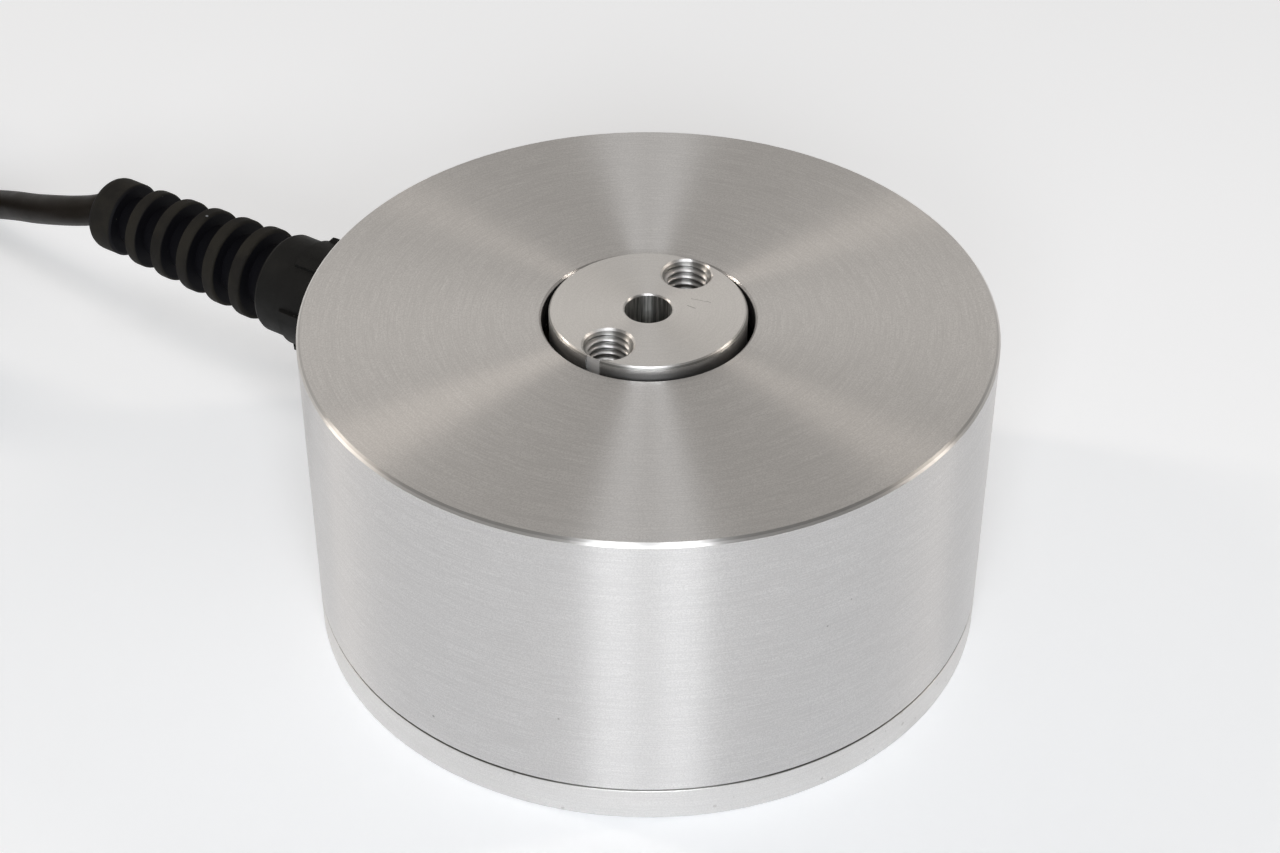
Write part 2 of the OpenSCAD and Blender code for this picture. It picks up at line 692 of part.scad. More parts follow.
module gland_body() color("dimgray") difference() {
    union() {
        at_port(inner_r + 0.3) cylinder(h = gland_hex_s - inner_r, r = port_d / 2);
        at_port(gland_hex_s) cylinder(h = gland_hex_l, d = gland_af / cos(30), $fn = 6);
        at_port(gland_neck_s - eps) cylinder(h = gland_neck_l + eps, d = gland_neck_d);
    }
    at_port(inner_r) cylinder(h = gland_end_s, r = cable_r + cable_gap);
    at_port(claw_s) cylinder(h = gland_end_s, d = claw_seat_d);
}

module gland_gasket() color("black")
    at_port(spot_s) tube_of(gland_af / 2, port_d / 2 + fit_gap, gasket_t);

module clamping_claw() color("darkslategray") difference() {
    at_port(claw_s)
        tube_of(claw_seat_d / 2 - fit_gap, claw_seat_d / 2 - claw_wall, claw_end_s - claw_s);
    for (i = [0 : claw_slots / 2 - 1]) at_port(claw_s + 3) rotate(i * 360 / claw_slots)
        translate([-claw_seat_d, -claw_slot_w / 2, 0])
            cube([2 * claw_seat_d, claw_slot_w, claw_end_s]);
}

module cable_seal() color("black") at_port(claw_s)
    tube_of(claw_seat_d / 2 - claw_wall - fit_gap, cable_r + cable_gap, claw_end_s - claw_s);

module cap_nut() color("black") difference() {
    union() {
        at_port(cap_s) rotate_extrude() polygon([[0, 0], [nut_d / 2, 0],
            [nut_d / 2, nut_grip_l], [nut_shoulder_d / 2, nut_grip_l],
            [nut_shoulder_d / 2, nut_l - 0.6], [nut_shoulder_d / 2 - 0.2, nut_l - 0.2],
            [nut_shoulder_d / 2 - 0.6, nut_l], [0, nut_l]]);
        at_port(cap_s) ring_of(nut_ribs, 0, nut_turn) grip_rib();
    }
    at_port(cap_s - eps) cylinder(
        h = boot_flange_s + boot_flange_l + 0.1 - cap_s, r = gland_neck_d / 2 + fit_gap);
    at_port(cap_s) cylinder(h = cap_end_s, r = sleeve_d0 / 2 + 0.1);
}

// a raised grip rib with a sloped front end, from the nut's axis outwards
module grip_rib() {
    intersection() {
        translate([nut_d / 2 - 0.3, -nut_rib_w / 2, 0]) cube([nut_rib_d, nut_rib_w, nut_grip_l]);
        rotate_extrude() polygon([[0, 0], [nut_rib_d / 2, 0],
            [nut_rib_d / 2, nut_grip_l - 0.7], [nut_d / 2 - 0.2, nut_grip_l - 0.1],
            [0, nut_grip_l - 0.1]]);
    }
}

// the outline of one rib: a disc of radius r from s to s + t with rounded edges
function disc_outline(s, t, r, q, inner) = concat([[inner, s]],
    [for (a = [-90 : 30 : 0]) [r - q + q * cos(a), s + q + q * sin(a)]],
    [for (a = [0 : 30 : 90]) [r - q + q * cos(a), s + t - q + q * sin(a)]],
    [[inner, s + t]]);
function rib_d(i) = first_rib_d + (end_collar_d - first_rib_d) * i / boot_ribs;

module ribbed_boot() color("black") at_port(0) rotate_extrude() difference() {
    union() {
        translate([0, boot_flange_s]) square([boot_flange_d / 2, boot_flange_l]);
        polygon([[0, boot_flange_s], [sleeve_d0 / 2, boot_flange_s],
                 [sleeve_d0 / 2, boot_s + rib_pitch / 2], [sleeve_d1 / 2, end_collar_s + eps],
                 [0, end_collar_s + eps]]);
        for (i = [0 : boot_ribs - 1])
            polygon(disc_outline(boot_s + (i + 1) * rib_pitch - rib_t, rib_t,
                                 rib_d(i) / 2, rib_round, 0));
        polygon(concat([[0, end_collar_s], [end_collar_d / 2 - rib_round, end_collar_s],
                        [end_collar_d / 2, end_collar_s + rib_round]],
            [for (a = [0 : 15 : 90]) [end_collar_d / 2 - end_round * (1 - cos(a)),
                                      boot_end_s - end_round * (1 - sin(a))]],
            [[0, boot_end_s]]));
    }
    translate([-eps, 0]) square([cable_r + cable_gap + eps, 2 * boot_end_s]);
}

module cable_in_gland() color("black") at_port(jacket_end_y)
    cylinder(h = boot_end_s - jacket_end_y, r = cable_r);

// ---- free cable ----

module cable() color("black") cord(cable_route, cable_r, 8);

module rounded_box_outline(w, h, r) {
    translate([r, 0]) square([w - 2 * r, h]);
    translate([0, r]) square([w, h - 2 * r]);
    for (x = [r, w - r], y = [r, h - r]) translate([x, y]) circle(r = r, $fn = 32);
}

// the bundle of turns, with the straight ends that lead into it and out to the plug
module cable_coil() color("black") {
    translate([coil_c[0], coil_c[1], coil_bottom]) rotate_extrude()
        translate([coil_ir, 0]) rounded_box_outline(coil_w, coil_h, cable_r);
    translate([lead_in_end[0], lead_in_end[1], lead_in_z]) rotate(lead_in_angle)
        rotate([-90, 0, 0]) cylinder(h = lead_in_l, r = cable_r);
    translate([plug_x, coil_c[1], lead_out_z])
        rotate([90, 0, 0]) cylinder(h = lead_out_l + plug_hold, r = cable_r);
}

// a strap round the bundle, on the far side of the coil
module coil_tie() color("dimgray") translate([coil_c[0], coil_c[1], coil_bottom])
    intersection() {
        rotate_extrude() difference() {
            translate([coil_ir - tie_t, -tie_t])
                rounded_box_outline(coil_w + 2 * tie_t, coil_h + 2 * tie_t, cable_r);
            translate([coil_ir, 0]) rounded_box_outline(coil_w, coil_h, cable_r);
        }
        translate([-tie_w / 2, 0, -coil_h]) cube([tie_w, 2 * coil_or, 3 * coil_h]);
    }

// ---- plug ----

// along the plug from its cable end: local +Z points away from the coil, to -Y
module at_plug(s) translate([plug_x, plug_y - s, lead_out_z])
    rotate([90, 0, 0]) children();
shell_s = plug_nut_l;
grip_s = shell_s + shell_l;
nose_d = grip_d - 6;
nose_out = 1;
socket_s = grip_s + grip_l + nose_out - insert_l;

module plug_cable_nut() color("gray") difference() {
    at_plug(0) rotate_extrude() polygon([[0, 0], [plug_nut_d / 2 - 1.5, 0],
        [plug_nut_d / 2, 2.5], [plug_nut_d / 2, plug_nut_l], [0, plug_nut_l]]);
    at_plug(-eps) cylinder(h = 2 * plug_nut_l, r = cable_r + cable_gap);
}

module plug_shell() color("silver") difference() {
    union() {
        at_plug(shell_s) cylinder(h = shell_l, d = shell_d);
        at_plug(grip_s - eps) cylinder(h = grip_l + nose_out + eps, d = nose_d);
    }
    at_plug(socket_s) cylinder(h = grip_l, d = nose_d - 2 * insert_wall);
}

// the sleeve is seated on the shell's nose, against the shell's shoulder, and doesn't turn
flutes = 24;
module plug_grip() color("silver") difference() {
    at_plug(grip_s) rotate_extrude() polygon([[nose_d / 2 + fit_gap, 0], [grip_d / 2 - 0.5, 0],
        [grip_d / 2, 0.5], [grip_d / 2, grip_l - 0.5], [grip_d / 2 - 0.5, grip_l],
        [nose_d / 2 + fit_gap, grip_l]]);
    at_plug(grip_s + 2) ring_of(flutes, grip_d / 2 + 0.35)
        cylinder(h = grip_l - 4, d = 1.2, $fn = 24);
}

module plug_insert() color("black") difference() {
    at_plug(socket_s) cylinder(h = insert_l - 4, d = nose_d - 2 * insert_wall - 2 * fit_gap);
    at_pins(-eps) cylinder(h = insert_l, d = pin_d + 2 * fit_gap, $fn = 24);
}

module at_pins(s) at_plug(socket_s + s) ring_of(pins_n, nose_d / 4) children();

module plug_pins() color("gold") at_pins(0.2) cylinder(h = insert_l - 1, d = pin_d, $fn = 24);

base_plate();
housing();
measuring_body();
housing_seal();
housing_screws();
ring_screws();
dowel_pins();
strain_gauges();
solder_terminals();
gauge_leads();
board_spacers();
circuit_board();
board_screws();
amplifier_chips();
processor_chip();
board_capacitors();
lead_header();
header_pins();
lead_plug();
cable_cores();
gland_body();
gland_gasket();
clamping_claw();
cable_seal();
cap_nut();
ribbed_boot();
cable_in_gland();
cable();
cable_coil();
coil_tie();
plug_cable_nut();
plug_shell();
plug_grip();
plug_insert();
plug_pins();
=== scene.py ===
"""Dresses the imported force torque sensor: its cable, threads and finishes, on a pale floor."""

import json
import math

import bpy
import numpy as np
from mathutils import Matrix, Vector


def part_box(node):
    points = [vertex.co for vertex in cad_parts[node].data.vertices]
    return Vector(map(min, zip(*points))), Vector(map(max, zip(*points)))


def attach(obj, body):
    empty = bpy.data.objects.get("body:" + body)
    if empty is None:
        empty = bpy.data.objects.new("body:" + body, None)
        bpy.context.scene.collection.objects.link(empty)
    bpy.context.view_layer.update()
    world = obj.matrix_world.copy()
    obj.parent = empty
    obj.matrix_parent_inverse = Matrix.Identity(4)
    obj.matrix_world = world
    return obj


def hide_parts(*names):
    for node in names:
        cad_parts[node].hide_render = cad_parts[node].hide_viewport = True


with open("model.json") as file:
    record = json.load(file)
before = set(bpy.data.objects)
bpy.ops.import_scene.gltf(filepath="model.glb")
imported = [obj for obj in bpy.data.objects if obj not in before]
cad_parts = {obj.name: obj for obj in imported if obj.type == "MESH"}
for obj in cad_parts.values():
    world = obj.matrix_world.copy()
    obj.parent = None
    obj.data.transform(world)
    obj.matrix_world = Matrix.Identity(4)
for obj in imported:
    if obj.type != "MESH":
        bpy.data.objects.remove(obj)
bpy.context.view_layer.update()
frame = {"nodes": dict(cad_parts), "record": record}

MM = 0.001

# The sensor's sizes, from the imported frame
MOUNTS = {mount["name"]: mount["dims"] for mount in frame["record"]["mounts"] if "dims" in mount}
HOUSING_LOW, HOUSING_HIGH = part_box("housing")
BODY_R = HOUSING_HIGH[0]
TOP_Z = HOUSING_HIGH[2]
JOINT_Z = HOUSING_LOW[2]
BASE_TOP_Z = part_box("base_plate")[1][2]
HUB_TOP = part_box("measuring_body")[1][2]
HUB_HOLE_X = MOUNTS["hub_threads"]["pcd_mm"] * MM / 2
BORE_R = MOUNTS["hub_bore"]["r_mm"] * MM
BOOT_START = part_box("ribbed_boot")[0][1]
BOOT_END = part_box("ribbed_boot")[1][1]
PORT_Z = sum(corner[2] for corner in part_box("cable_in_gland")) / 2

# The sizes that no box or mount gives. The opening's radius has a little to spare.
HUB_R = 12.5 * MM
OPENING_R = 13.6 * MM
RIM_CHAMFER = 0.5 * MM
HUB_CHAMFER = 0.35 * MM
BASE_CHAMFER = 0.4 * MM


# ---- camera ----

# The camera stands to the sensor's left front. Its own directions serve the lamps too.
VIEW_TURN = math.radians(-57)
CAMERA_BACK = 0.2589
CAMERA_HEIGHT = 0.23092
CAMERA_DOWN = 0.6680
CAMERA_PAN = 0.004
CAMERA_LENS = 71.49
CAMERA_CLIP = 0.01


def from_camera_side(right, away, up):
    """A place given as distances to the right of the sensor's axis, away from the camera, and
    above the floor, turned into the sensor's frame."""
    c, s = math.cos(VIEW_TURN), math.sin(VIEW_TURN)
    return (c * right - s * away, s * right + c * away, up)


def make_camera():
    """The camera, looking down at the sensor."""
    data = bpy.data.cameras.new("camera")
    data.lens = CAMERA_LENS
    data.clip_start = CAMERA_CLIP
    camera = bpy.data.objects.new("camera", data)
    camera.location = from_camera_side(0, -CAMERA_BACK, CAMERA_HEIGHT)
    camera.rotation_euler = (math.pi / 2 - CAMERA_DOWN, 0, VIEW_TURN + CAMERA_PAN)
    bpy.context.scene.collection.objects.link(camera)
    bpy.context.scene.camera = camera


# ---- meshes from numpy ----


def mesh_object(name, points, faces, materials, slot):
    """An object from an array of points and a list of faces, shaded smooth, that rides the
    sensor and wears its slot's material."""
    mesh = bpy.data.meshes.new(name)
    mesh.from_pydata(points, [], faces)
    mesh.shade_smooth()
    mesh.update()
    piece = bpy.data.objects.new(name, mesh)
    bpy.context.scene.collection.objects.link(piece)
    piece.data.materials.append(materials[slot])
    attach(piece, "root")
    return piece


def grid_faces(rows, columns, closed_rows=False):
    """Quads between neighbouring points of a grid stored row by row. Columns always close."""
    spans = rows if closed_rows else rows - 1
    i, j = np.meshgrid(np.arange(spans), np.arange(columns), indexing="ij")
    i, j = i.ravel(), j.ravel()
    down, across = (i + 1) % rows, (j + 1) % columns
    corners = [
        i * columns + j,
        i * columns + across,
        down * columns + across,
        down * columns + j,
    ]
    return np.stack(corners, axis=1)


# ---- cable ----

CABLE_D = 4.5 * MM
CABLE_SIDES = 16
CABLE_STEP = 1 * MM
POINTS_PER_SPAN = 24

# The cable's way from its strain relief down to the coil, in millimetres
CABLE_ROUTE = np.array(
    [
        [0, 93.5, 26.3],
        [0, 94.5, 26.3],
        [0, 97, 25.1],
        [0, 100, 23.9],
        [0.4, 104, 22.3],
        [1.8, 111, 19.3],
        [3.8, 118, 16.2],
        [6.3, 126, 12.3],
        [9.2, 135, 7.9],
        [12.2, 143.4, 4.7],
        [14.9, 151, 3],
    ]
)

# The straight way in to the coil: its direction round the coil, its length, and the short piece
# before it
LEAD_IN = math.radians(-23)
LEAD_IN_L = 16 * MM
LEAD_IN_START = 3 * MM

# The coil's turns in the order they are wound: radius in millimetres and layer
COIL_TURNS = np.array(
    [
        (27.5, 0), (23, 0), (18.5, 0), (14.25, 0),
        (16.4, 1), (20.8, 1), (25.3, 1),
        (27.6, 2), (23.1, 2), (18.6, 2), (14.25, 2),
        (16.4, 3), (20.8, 3), (25.3, 3),
        (27.5, 2),
    ]
)
COIL_CENTRE = np.array([0, 187]) * MM
COIL_TURN_R = 27.5 * MM
COIL_FLOOR_Z = 3.1 * MM
LAYER_RISE = 3.75 * MM
CROSSING_RISE = 0.15 * MM
CROSSOVER = 0.16
POINTS_PER_TURN = 90

# The plug's axis, and where the cable ends in it
PLUG_X = -27.5 * MM
PLUG_Z = 9.5 * MM
PLUG_CABLE_END = 156 * MM
TAIL_POINTS = 15


def smooth_line(points, spacing):
    """A Catmull-Rom curve through the points, resampled at even steps of about the spacing."""
    ends = np.vstack([2 * points[0] - points[1], points, 2 * points[-1] - points[-2]])
    t = np.linspace(0, 1, POINTS_PER_SPAN, endpoint=False)[:, None, None]
    a, b, c, d = ends[:-3], ends[1:-2], ends[2:-1], ends[3:]
    curve = 0.5 * (
        2 * b + (c - a) * t + (2 * a - 5 * b + 4 * c - d) * t**2 + (3 * b - a - 3 * c + d) * t**3
    )
    curve = np.vstack([curve.transpose(1, 0, 2).reshape(-1, 3), points[-1]])
    along = np.concatenate([[0], np.cumsum(np.linalg.norm(np.diff(curve, axis=0), axis=1))])
    even = np.linspace(0, along[-1], int(along[-1] / spacing) + 1)
    return np.stack([np.interp(even, along, curve[:, k]) for k in range(3)], axis=1)


def smooth_step(share):
    """From 0 to 1 with level ends: three times the share squared, less twice its cube."""
    return share * share * (3 - 2 * share)


def coil_line():
    """The turns of the coil, wound anticlockwise. Each turn keeps its radius and height, and a
    smooth step over a short arc at its start takes it to the next turn's. The step humps up by
    the layers below it, where the turns cross, and the last turn ends at the plug's height."""
    radii, layers = COIL_TURNS.T
    last_turn = (math.pi - LEAD_IN) / (2 * math.pi)
    count = len(COIL_TURNS) - 1 + last_turn
    turned = np.linspace(0, count, int(count * POINTS_PER_TURN))
    now = np.floor(turned).astype(int)
    before = np.maximum(now - 1, 0)
    share = np.clip((turned - now) / CROSSOVER, 0, 1)
    share[now == 0] = 1
    step = smooth_step(share)
    radius = (radii[before] * (1 - step) + radii[now] * step) * MM
    layer = layers[before] * (1 - step) + layers[now] * step
    height = COIL_FLOOR_Z + LAYER_RISE * layer + CROSSING_RISE * layer * np.sin(math.pi * share)
    leaving = smooth_step(np.clip((turned - turned[-1]) / CROSSOVER + 1, 0, 1))
    height += (PLUG_Z - height[-1]) * leaving
    angle = LEAD_IN + 2 * math.pi * turned
    x = COIL_CENTRE[0] + radius * np.cos(angle)
    y = COIL_CENTRE[1] + radius * np.sin(angle)
    return np.stack([x, y, height], axis=1)


def cable_line():
    """The whole centreline: the free stretch, the coil, and the straight end at the plug."""
    start = COIL_CENTRE + COIL_TURN_R * np.array([math.cos(LEAD_IN), math.sin(LEAD_IN)])
    ahead = np.array([-math.sin(LEAD_IN), math.cos(LEAD_IN)])
    lead = np.array(
        [
            [*(start - distance * ahead), COIL_FLOOR_Z]
            for distance in (LEAD_IN_L + LEAD_IN_START, LEAD_IN_L, LEAD_IN_L / 2)
        ]
    )
    coil = coil_line()
    free = smooth_line(np.vstack([CABLE_ROUTE * MM, lead, coil[:1]]), CABLE_STEP)
    tail_y = np.linspace(COIL_CENTRE[1], PLUG_CABLE_END, TAIL_POINTS + 1)[1:, None]
    tail = np.hstack([np.full_like(tail_y, PLUG_X), tail_y, np.full_like(tail_y, PLUG_Z)])
    return np.vstack([free[:-1], coil, tail])


def tube(name, line, radius, sides, materials, slot):
    """A closed tube: a circle carried along a line, its first side kept level, with each end
    drawn in to a point."""
    ahead = np.gradient(line, axis=0)
    ahead /= np.linalg.norm(ahead, axis=1, keepdims=True)
    level = np.cross(ahead, [0, 0, 1])
    level /= np.linalg.norm(level, axis=1, keepdims=True)
    upright = np.cross(level, ahead)
    turn = np.linspace(0, 2 * math.pi, sides, endpoint=False)[None, :, None]
    rings = line[:, None] + radius * (
        np.cos(turn) * level[:, None] + np.sin(turn) * upright[:, None]
    )
    points = np.vstack([rings.reshape(-1, 3), line[:1], line[-1:]])
    walls = grid_faces(len(line), sides)[:, ::-1]
    first_tip, last_tip = len(line) * sides, len(line) * sides + 1
    last_ring = (len(line) - 1) * sides
    j = np.arange(sides)
    after = (j + 1) % sides
    head = np.stack([np.full_like(j, first_tip), j, after], axis=1)
    tail = np.stack([np.full_like(j, last_tip), last_ring + after, last_ring + j], axis=1)
    faces = walls.tolist() + head.tolist() + tail.tolist()
    return mesh_object(name, points, faces, materials, slot)


def make_cable(materials):
    """The cable in one run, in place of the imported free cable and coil."""
    line = cable_line()
    cable = tube("free_cable", line, CABLE_D / 2, CABLE_SIDES, materials, "cable_jacket")
    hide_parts("cable", "cable_coil")


# ---- screw threads ----

THREAD_R = 3 * MM
THREAD_PITCH = 1 * MM
THREAD_DEEP = 0.5 * MM
SINK_R = 3.38 * MM
THREAD_SIDES = 96
RINGS_PER_PITCH = 16
HUB_THREAD_L = 11.8 * MM
BASE_THREAD_SHORT = 0.1 * MM

# The thread's profile over one pitch: how far its flank runs past full, and its slope
FLANK_TOP = 1.30
FLANK_SLOPE = 3.2


def thread_insert(name, x, y, mouth_z, depth, downwards, wall_r, materials, slot):
    """The inside of a tapped hole, as a sleeve. The radius goes in and out with the height plus
    the angle's share of the pitch, as a trapezoid wave, and a cone opens it at the mouth. The
    sleeve's outside is the plain hole's wall."""
    around = np.linspace(0, 2 * math.pi, THREAD_SIDES, endpoint=False)
    start = SINK_R - wall_r
    down = np.linspace(start, depth, int((depth - start) / (THREAD_PITCH / RINGS_PER_PITCH)))
    phase = (down[:, None] / THREAD_PITCH + around[None] / (2 * math.pi)) % 1
    wave = np.clip(FLANK_TOP - FLANK_SLOPE * np.abs(phase - 0.5), 0, 1)
    threaded = THREAD_R - THREAD_DEEP * wave
    radius = np.minimum(np.maximum(threaded, SINK_R - down[:, None]), wall_r)
    # the last two rings are the outside wall, from the deep end back to the mouth
    rings = np.concatenate([radius, np.full((2, THREAD_SIDES), wall_r)])
    heights = np.concatenate([down, [depth, start]])
    sense = -1 if downwards else 1
    across = x + rings * np.cos(around)
    along = y + rings * np.sin(around)
    up = np.broadcast_to(mouth_z + sense * heights[:, None], rings.shape)
    points = np.stack([across, along, up], axis=-1).reshape(-1, 3)
    faces = grid_faces(len(rings), THREAD_SIDES, closed_rows=True)
    if not downwards:
        faces = faces[:, ::-1]
    return mesh_object(name, points, faces.tolist(), materials, slot)


def thread_ring(name, holes, first_angle, mouth_z, depth, downwards, materials, slot):
    """A threaded sleeve in each hole of a bolt pattern."""
    ring_r = holes["pcd_mm"] * MM / 2
    for i in range(holes["count"]):
        angle = first_angle + 2 * math.pi / holes["count"] * i
        x, y = ring_r * math.cos(angle), ring_r * math.sin(angle)
        wall_r = holes["hole_r_mm"] * MM
        thread_insert(f"{name}_{i + 1}", x, y, mouth_z, depth, downwards, wall_r, materials, slot)


def make_threads(materials):
    """The threads of the hub's two holes and of the base's four."""
    hub, base = MOUNTS["hub_threads"], MOUNTS["base_threads"]
    base_depth = BASE_TOP_Z - BASE_THREAD_SHORT
    thread_ring("hub_thread", hub, 0, HUB_TOP, HUB_THREAD_L, True, materials, "hub_aluminium")
    thread_ring("base_thread", base, math.pi / 4, 0, base_depth, False, materials, "base_aluminium")


# ---- material tools ----


def set_inputs(tree, node, inputs):
    """Links each named input of a node to a socket, or sets it to a value."""
    for key, value in inputs.items():
        socket = node.inputs[key]
        if isinstance(value, bpy.types.NodeSocket):
            tree.links.new(value, socket)
        elif socket.type == "RGBA" and len(value) == 3:
            socket.default_value = (*value, 1)
        else:
            socket.default_value = value


def add(tree, kind, inputs=None, **settings):
    """A node with its settings and its inputs."""
    node = tree.nodes.new(kind)
    for key, value in settings.items():
        setattr(node, key, value)
    set_inputs(tree, node, inputs or {})
    return node


def calc(tree, operation, *values, clamp=False):
    """A number worked out from others."""
    inputs = dict(enumerate(values))
    return add(tree, "ShaderNodeMath", inputs, operation=operation, use_clamp=clamp).outputs[0]


def product(tree, first, *others):
    """Numbers or masks multiplied together."""
    for other in others:
        first = calc(tree, "MULTIPLY", first, other)
    return first


def vector(tree, operation, *values):
    """A vector, or for a length, distance or dot product a number, worked out from vectors."""
    node = add(tree, "ShaderNodeVectorMath", dict(enumerate(values)), operation=operation)
    return node.outputs["Value" if operation in ("LENGTH", "DISTANCE", "DOT_PRODUCT") else 0]


def join(tree, x, y, z):
    """A vector from its three parts."""
    return add(tree, "ShaderNodeCombineXYZ", {0: x, 1: y, 2: z}).outputs[0]


def split(tree, spot):
    """A vector's three parts."""
    return tuple(add(tree, "ShaderNodeSeparateXYZ", {0: spot}).outputs)


def reach(tree, x, y):
    """How far a place lies from an axis, from its two distances across it."""
    return vector(tree, "LENGTH", join(tree, x, y, 0.0))


def ramp(tree, value, low, high, to_low=0.0, to_high=1.0, kind="SMOOTHSTEP"):
    """A value carried from one range to another, held at the ends."""
    inputs = {"Value": value, "From Min": low, "From Max": high, "To Min": to_low, "To Max": to_high}
    return add(tree, "ShaderNodeMapRange", inputs, interpolation_type=kind).outputs[0]


def mix(tree, factor, first, second):
    """A colour between two others."""
    inputs = {"Factor": factor, 6: first, 7: second}
    return add(tree, "ShaderNodeMix", inputs, data_type="RGBA").outputs[2]


def tint(tree, tone, mask, colour, share=1.0):
    """A tone taken towards a colour where a mask is set, by a share of the way."""
    if share != 1.0:
        mask = product(tree, mask, share)
    return mix(tree, mask, tone, colour)


def noise(tree, spot, scale, detail=2.0, roughness=0.5):
    """Smooth noise from 0 to 1."""
    inputs = {"Vector": spot, "Scale": scale, "Detail": detail, "Roughness": roughness}
    return add(tree, "ShaderNodeTexNoise", inputs).outputs["Fac"]


def bump(tree, height, strength, distance):
    """A normal that leans with the slope of a height."""
    inputs = {"Height": height, "Strength": strength, "Distance": distance}
    return add(tree, "ShaderNodeBump", inputs).outputs[0]


def place(tree):
    """The place on the piece, in its own coordinates."""
    return add(tree, "ShaderNodeTexCoord").outputs["Object"]


def new_material(name):
    """A new material, with its nodes and its shader."""
    material = bpy.data.materials.new(name)
    material.use_nodes = True
    tree = material.node_tree
    return material, tree, tree.nodes["Principled BSDF"]


def spaced(inputs):
    """Names of inputs with a space for each underscore."""
    return {key.replace("_", " "): value for key, value in inputs.items()}


def surface(tree, shader, **inputs):
    """Sets or links the inputs of a shader. Names have _ for a space."""
    set_inputs(tree, shader, spaced(inputs))


def put(tree, made, **inputs):
    """A node group placed in a material, with its own values. Names have _ for a space."""
    return add(tree, "ShaderNodeGroup", spaced(inputs), node_tree=made).outputs


# ---- node groups ----


def group(name, inputs, outputs):
    """An empty node group with named inputs, a three-part value for a vector and a number for a
    number, and named outputs."""
    tree = bpy.data.node_groups.new(name, "ShaderNodeTree")
    for key, value in inputs.items():
        kind = "NodeSocketVector" if isinstance(value, tuple) else "NodeSocketFloat"
        socket = tree.interface.new_socket(key, in_out="INPUT", socket_type=kind)
        socket.default_value = value
    for key in outputs:
        tree.interface.new_socket(key, in_out="OUTPUT", socket_type="NodeSocketFloat")
    return tree, tree.nodes.new("NodeGroupInput").outputs, tree.nodes.new("NodeGroupOutput")


def turned_marks_group():
    """The fine rings that a lathe leaves. Along a face the distance is the radius less the
    height, so that the same rings run over the top, the chamfer and the side. Noise stretched
    far round the axis and tight along that distance gives the marks, in a coarse and a fine
    size."""
    inputs = {"Place": (0, 0, 0), "Pitch": 0.4 * MM, "Streak": 20 * MM}
    tree, given, out = group("turned_marks", inputs, ("Height", "Tone"))
    x, y, z = split(tree, given["Place"])
    along_face = calc(tree, "SUBTRACT", reach(tree, x, y), z)
    steps = calc(tree, "DIVIDE", along_face, given["Pitch"])
    round_axis_scale = calc(tree, "DIVIDE", 1.0, given["Streak"])
    round_x, round_y = product(tree, x, round_axis_scale), product(tree, y, round_axis_scale)
    coarse = noise(tree, join(tree, round_x, round_y, steps), 1.0, 3.0, 0.65)
    fine = noise(tree, join(tree, round_x, round_y, product(tree, steps, 4.0)), 1.0, 1.0, 0.65)
    height = calc(tree, "ADD", product(tree, coarse, 0.6), product(tree, fine, 0.4))
    set_inputs(tree, out, {"Height": height, "Tone": ramp(tree, height, 0.3, 0.7)})
    return tree


def scratch_group():
    """A mask for one straight scratch: 1 on the line between two ends, fading over its width."""
    inputs = {"Place": (0, 0, 0), "Start": (0, 0, 0), "End": (0, 0, 0), "Width": 0.1 * MM}
    tree, given, out = group("scratch", inputs, ("Mask",))
    run = vector(tree, "SUBTRACT", given["End"], given["Start"])
    arm = vector(tree, "SUBTRACT", given["Place"], given["Start"])
    whole = vector(tree, "DOT_PRODUCT", run, run)
    share = calc(tree, "DIVIDE", vector(tree, "DOT_PRODUCT", arm, run), whole, clamp=True)
    nearest = add(tree, "ShaderNodeVectorMath", {0: run, "Scale": share}, operation="SCALE")
    away = vector(tree, "DISTANCE", arm, nearest.outputs[0])
    set_inputs(tree, out, {"Mask": ramp(tree, away, given["Width"], 0.0)})
    return tree


def specks_group():
    """Small scattered specks or pits: cells whose middle is near, thinned out by a share."""
    inputs = {"Place": (0, 0, 0), "Spacing": 4 * MM, "Size": 0.1 * MM, "Share": 0.3}
    tree, given, out = group("specks", inputs, ("Mask",))
    scale = calc(tree, "DIVIDE", 1.0, given["Spacing"])
    cells = add(tree, "ShaderNodeTexVoronoi", {"Vector": given["Place"], "Scale": scale}).outputs
    pick = add(tree, "ShaderNodeSeparateColor", {0: cells["Color"]}).outputs
    share_of_cell = calc(tree, "DIVIDE", given["Size"], given["Spacing"])
    size = product(tree, share_of_cell, calc(tree, "ADD", pick[1], 0.3))
    near = calc(tree, "LESS_THAN", cells["Distance"], size)
    chosen = calc(tree, "LESS_THAN", pick[0], given["Share"])
    set_inputs(tree, out, {"Mask": product(tree, near, chosen)})
    return tree


def grain_group():
    """The fine, even grain of a surface, with slow patches over it."""
    tree, given, out = group("grain", {"Place": (0, 0, 0), "Size": 0.2 * MM}, ("Height", "Patch"))
    scale = calc(tree, "DIVIDE", 1.0, given["Size"])
    fine = noise(tree, given["Place"], scale, 2.0)
    slow = noise(tree, given["Place"], calc(tree, "DIVIDE", scale, 25.0), 3.0, 0.6)
    set_inputs(tree, out, {"Height": fine, "Patch": ramp(tree, slow, 0.3, 0.7)})
    return tree


def millimetres(spot):
    """A place in millimetres, turned into metres."""
    return tuple(float(part) * MM for part in spot)


def scratch(tree, groups, spot, start, end, width):
    """The mask of one scratch, its ends and width given in millimetres."""
    ends = {"Start": millimetres(start), "End": millimetres(end)}
    return put(tree, groups["scratch"], Place=spot, Width=width * MM, **ends)["Mask"]


def dot(tree, groups, spot, centre, width, length=0.01):
    """The mask of one round pit or speck, as a scratch of next to no length, in millimetres."""
    return scratch(tree, groups, spot, centre, np.array(centre) + length, width)


# ---- metals ----

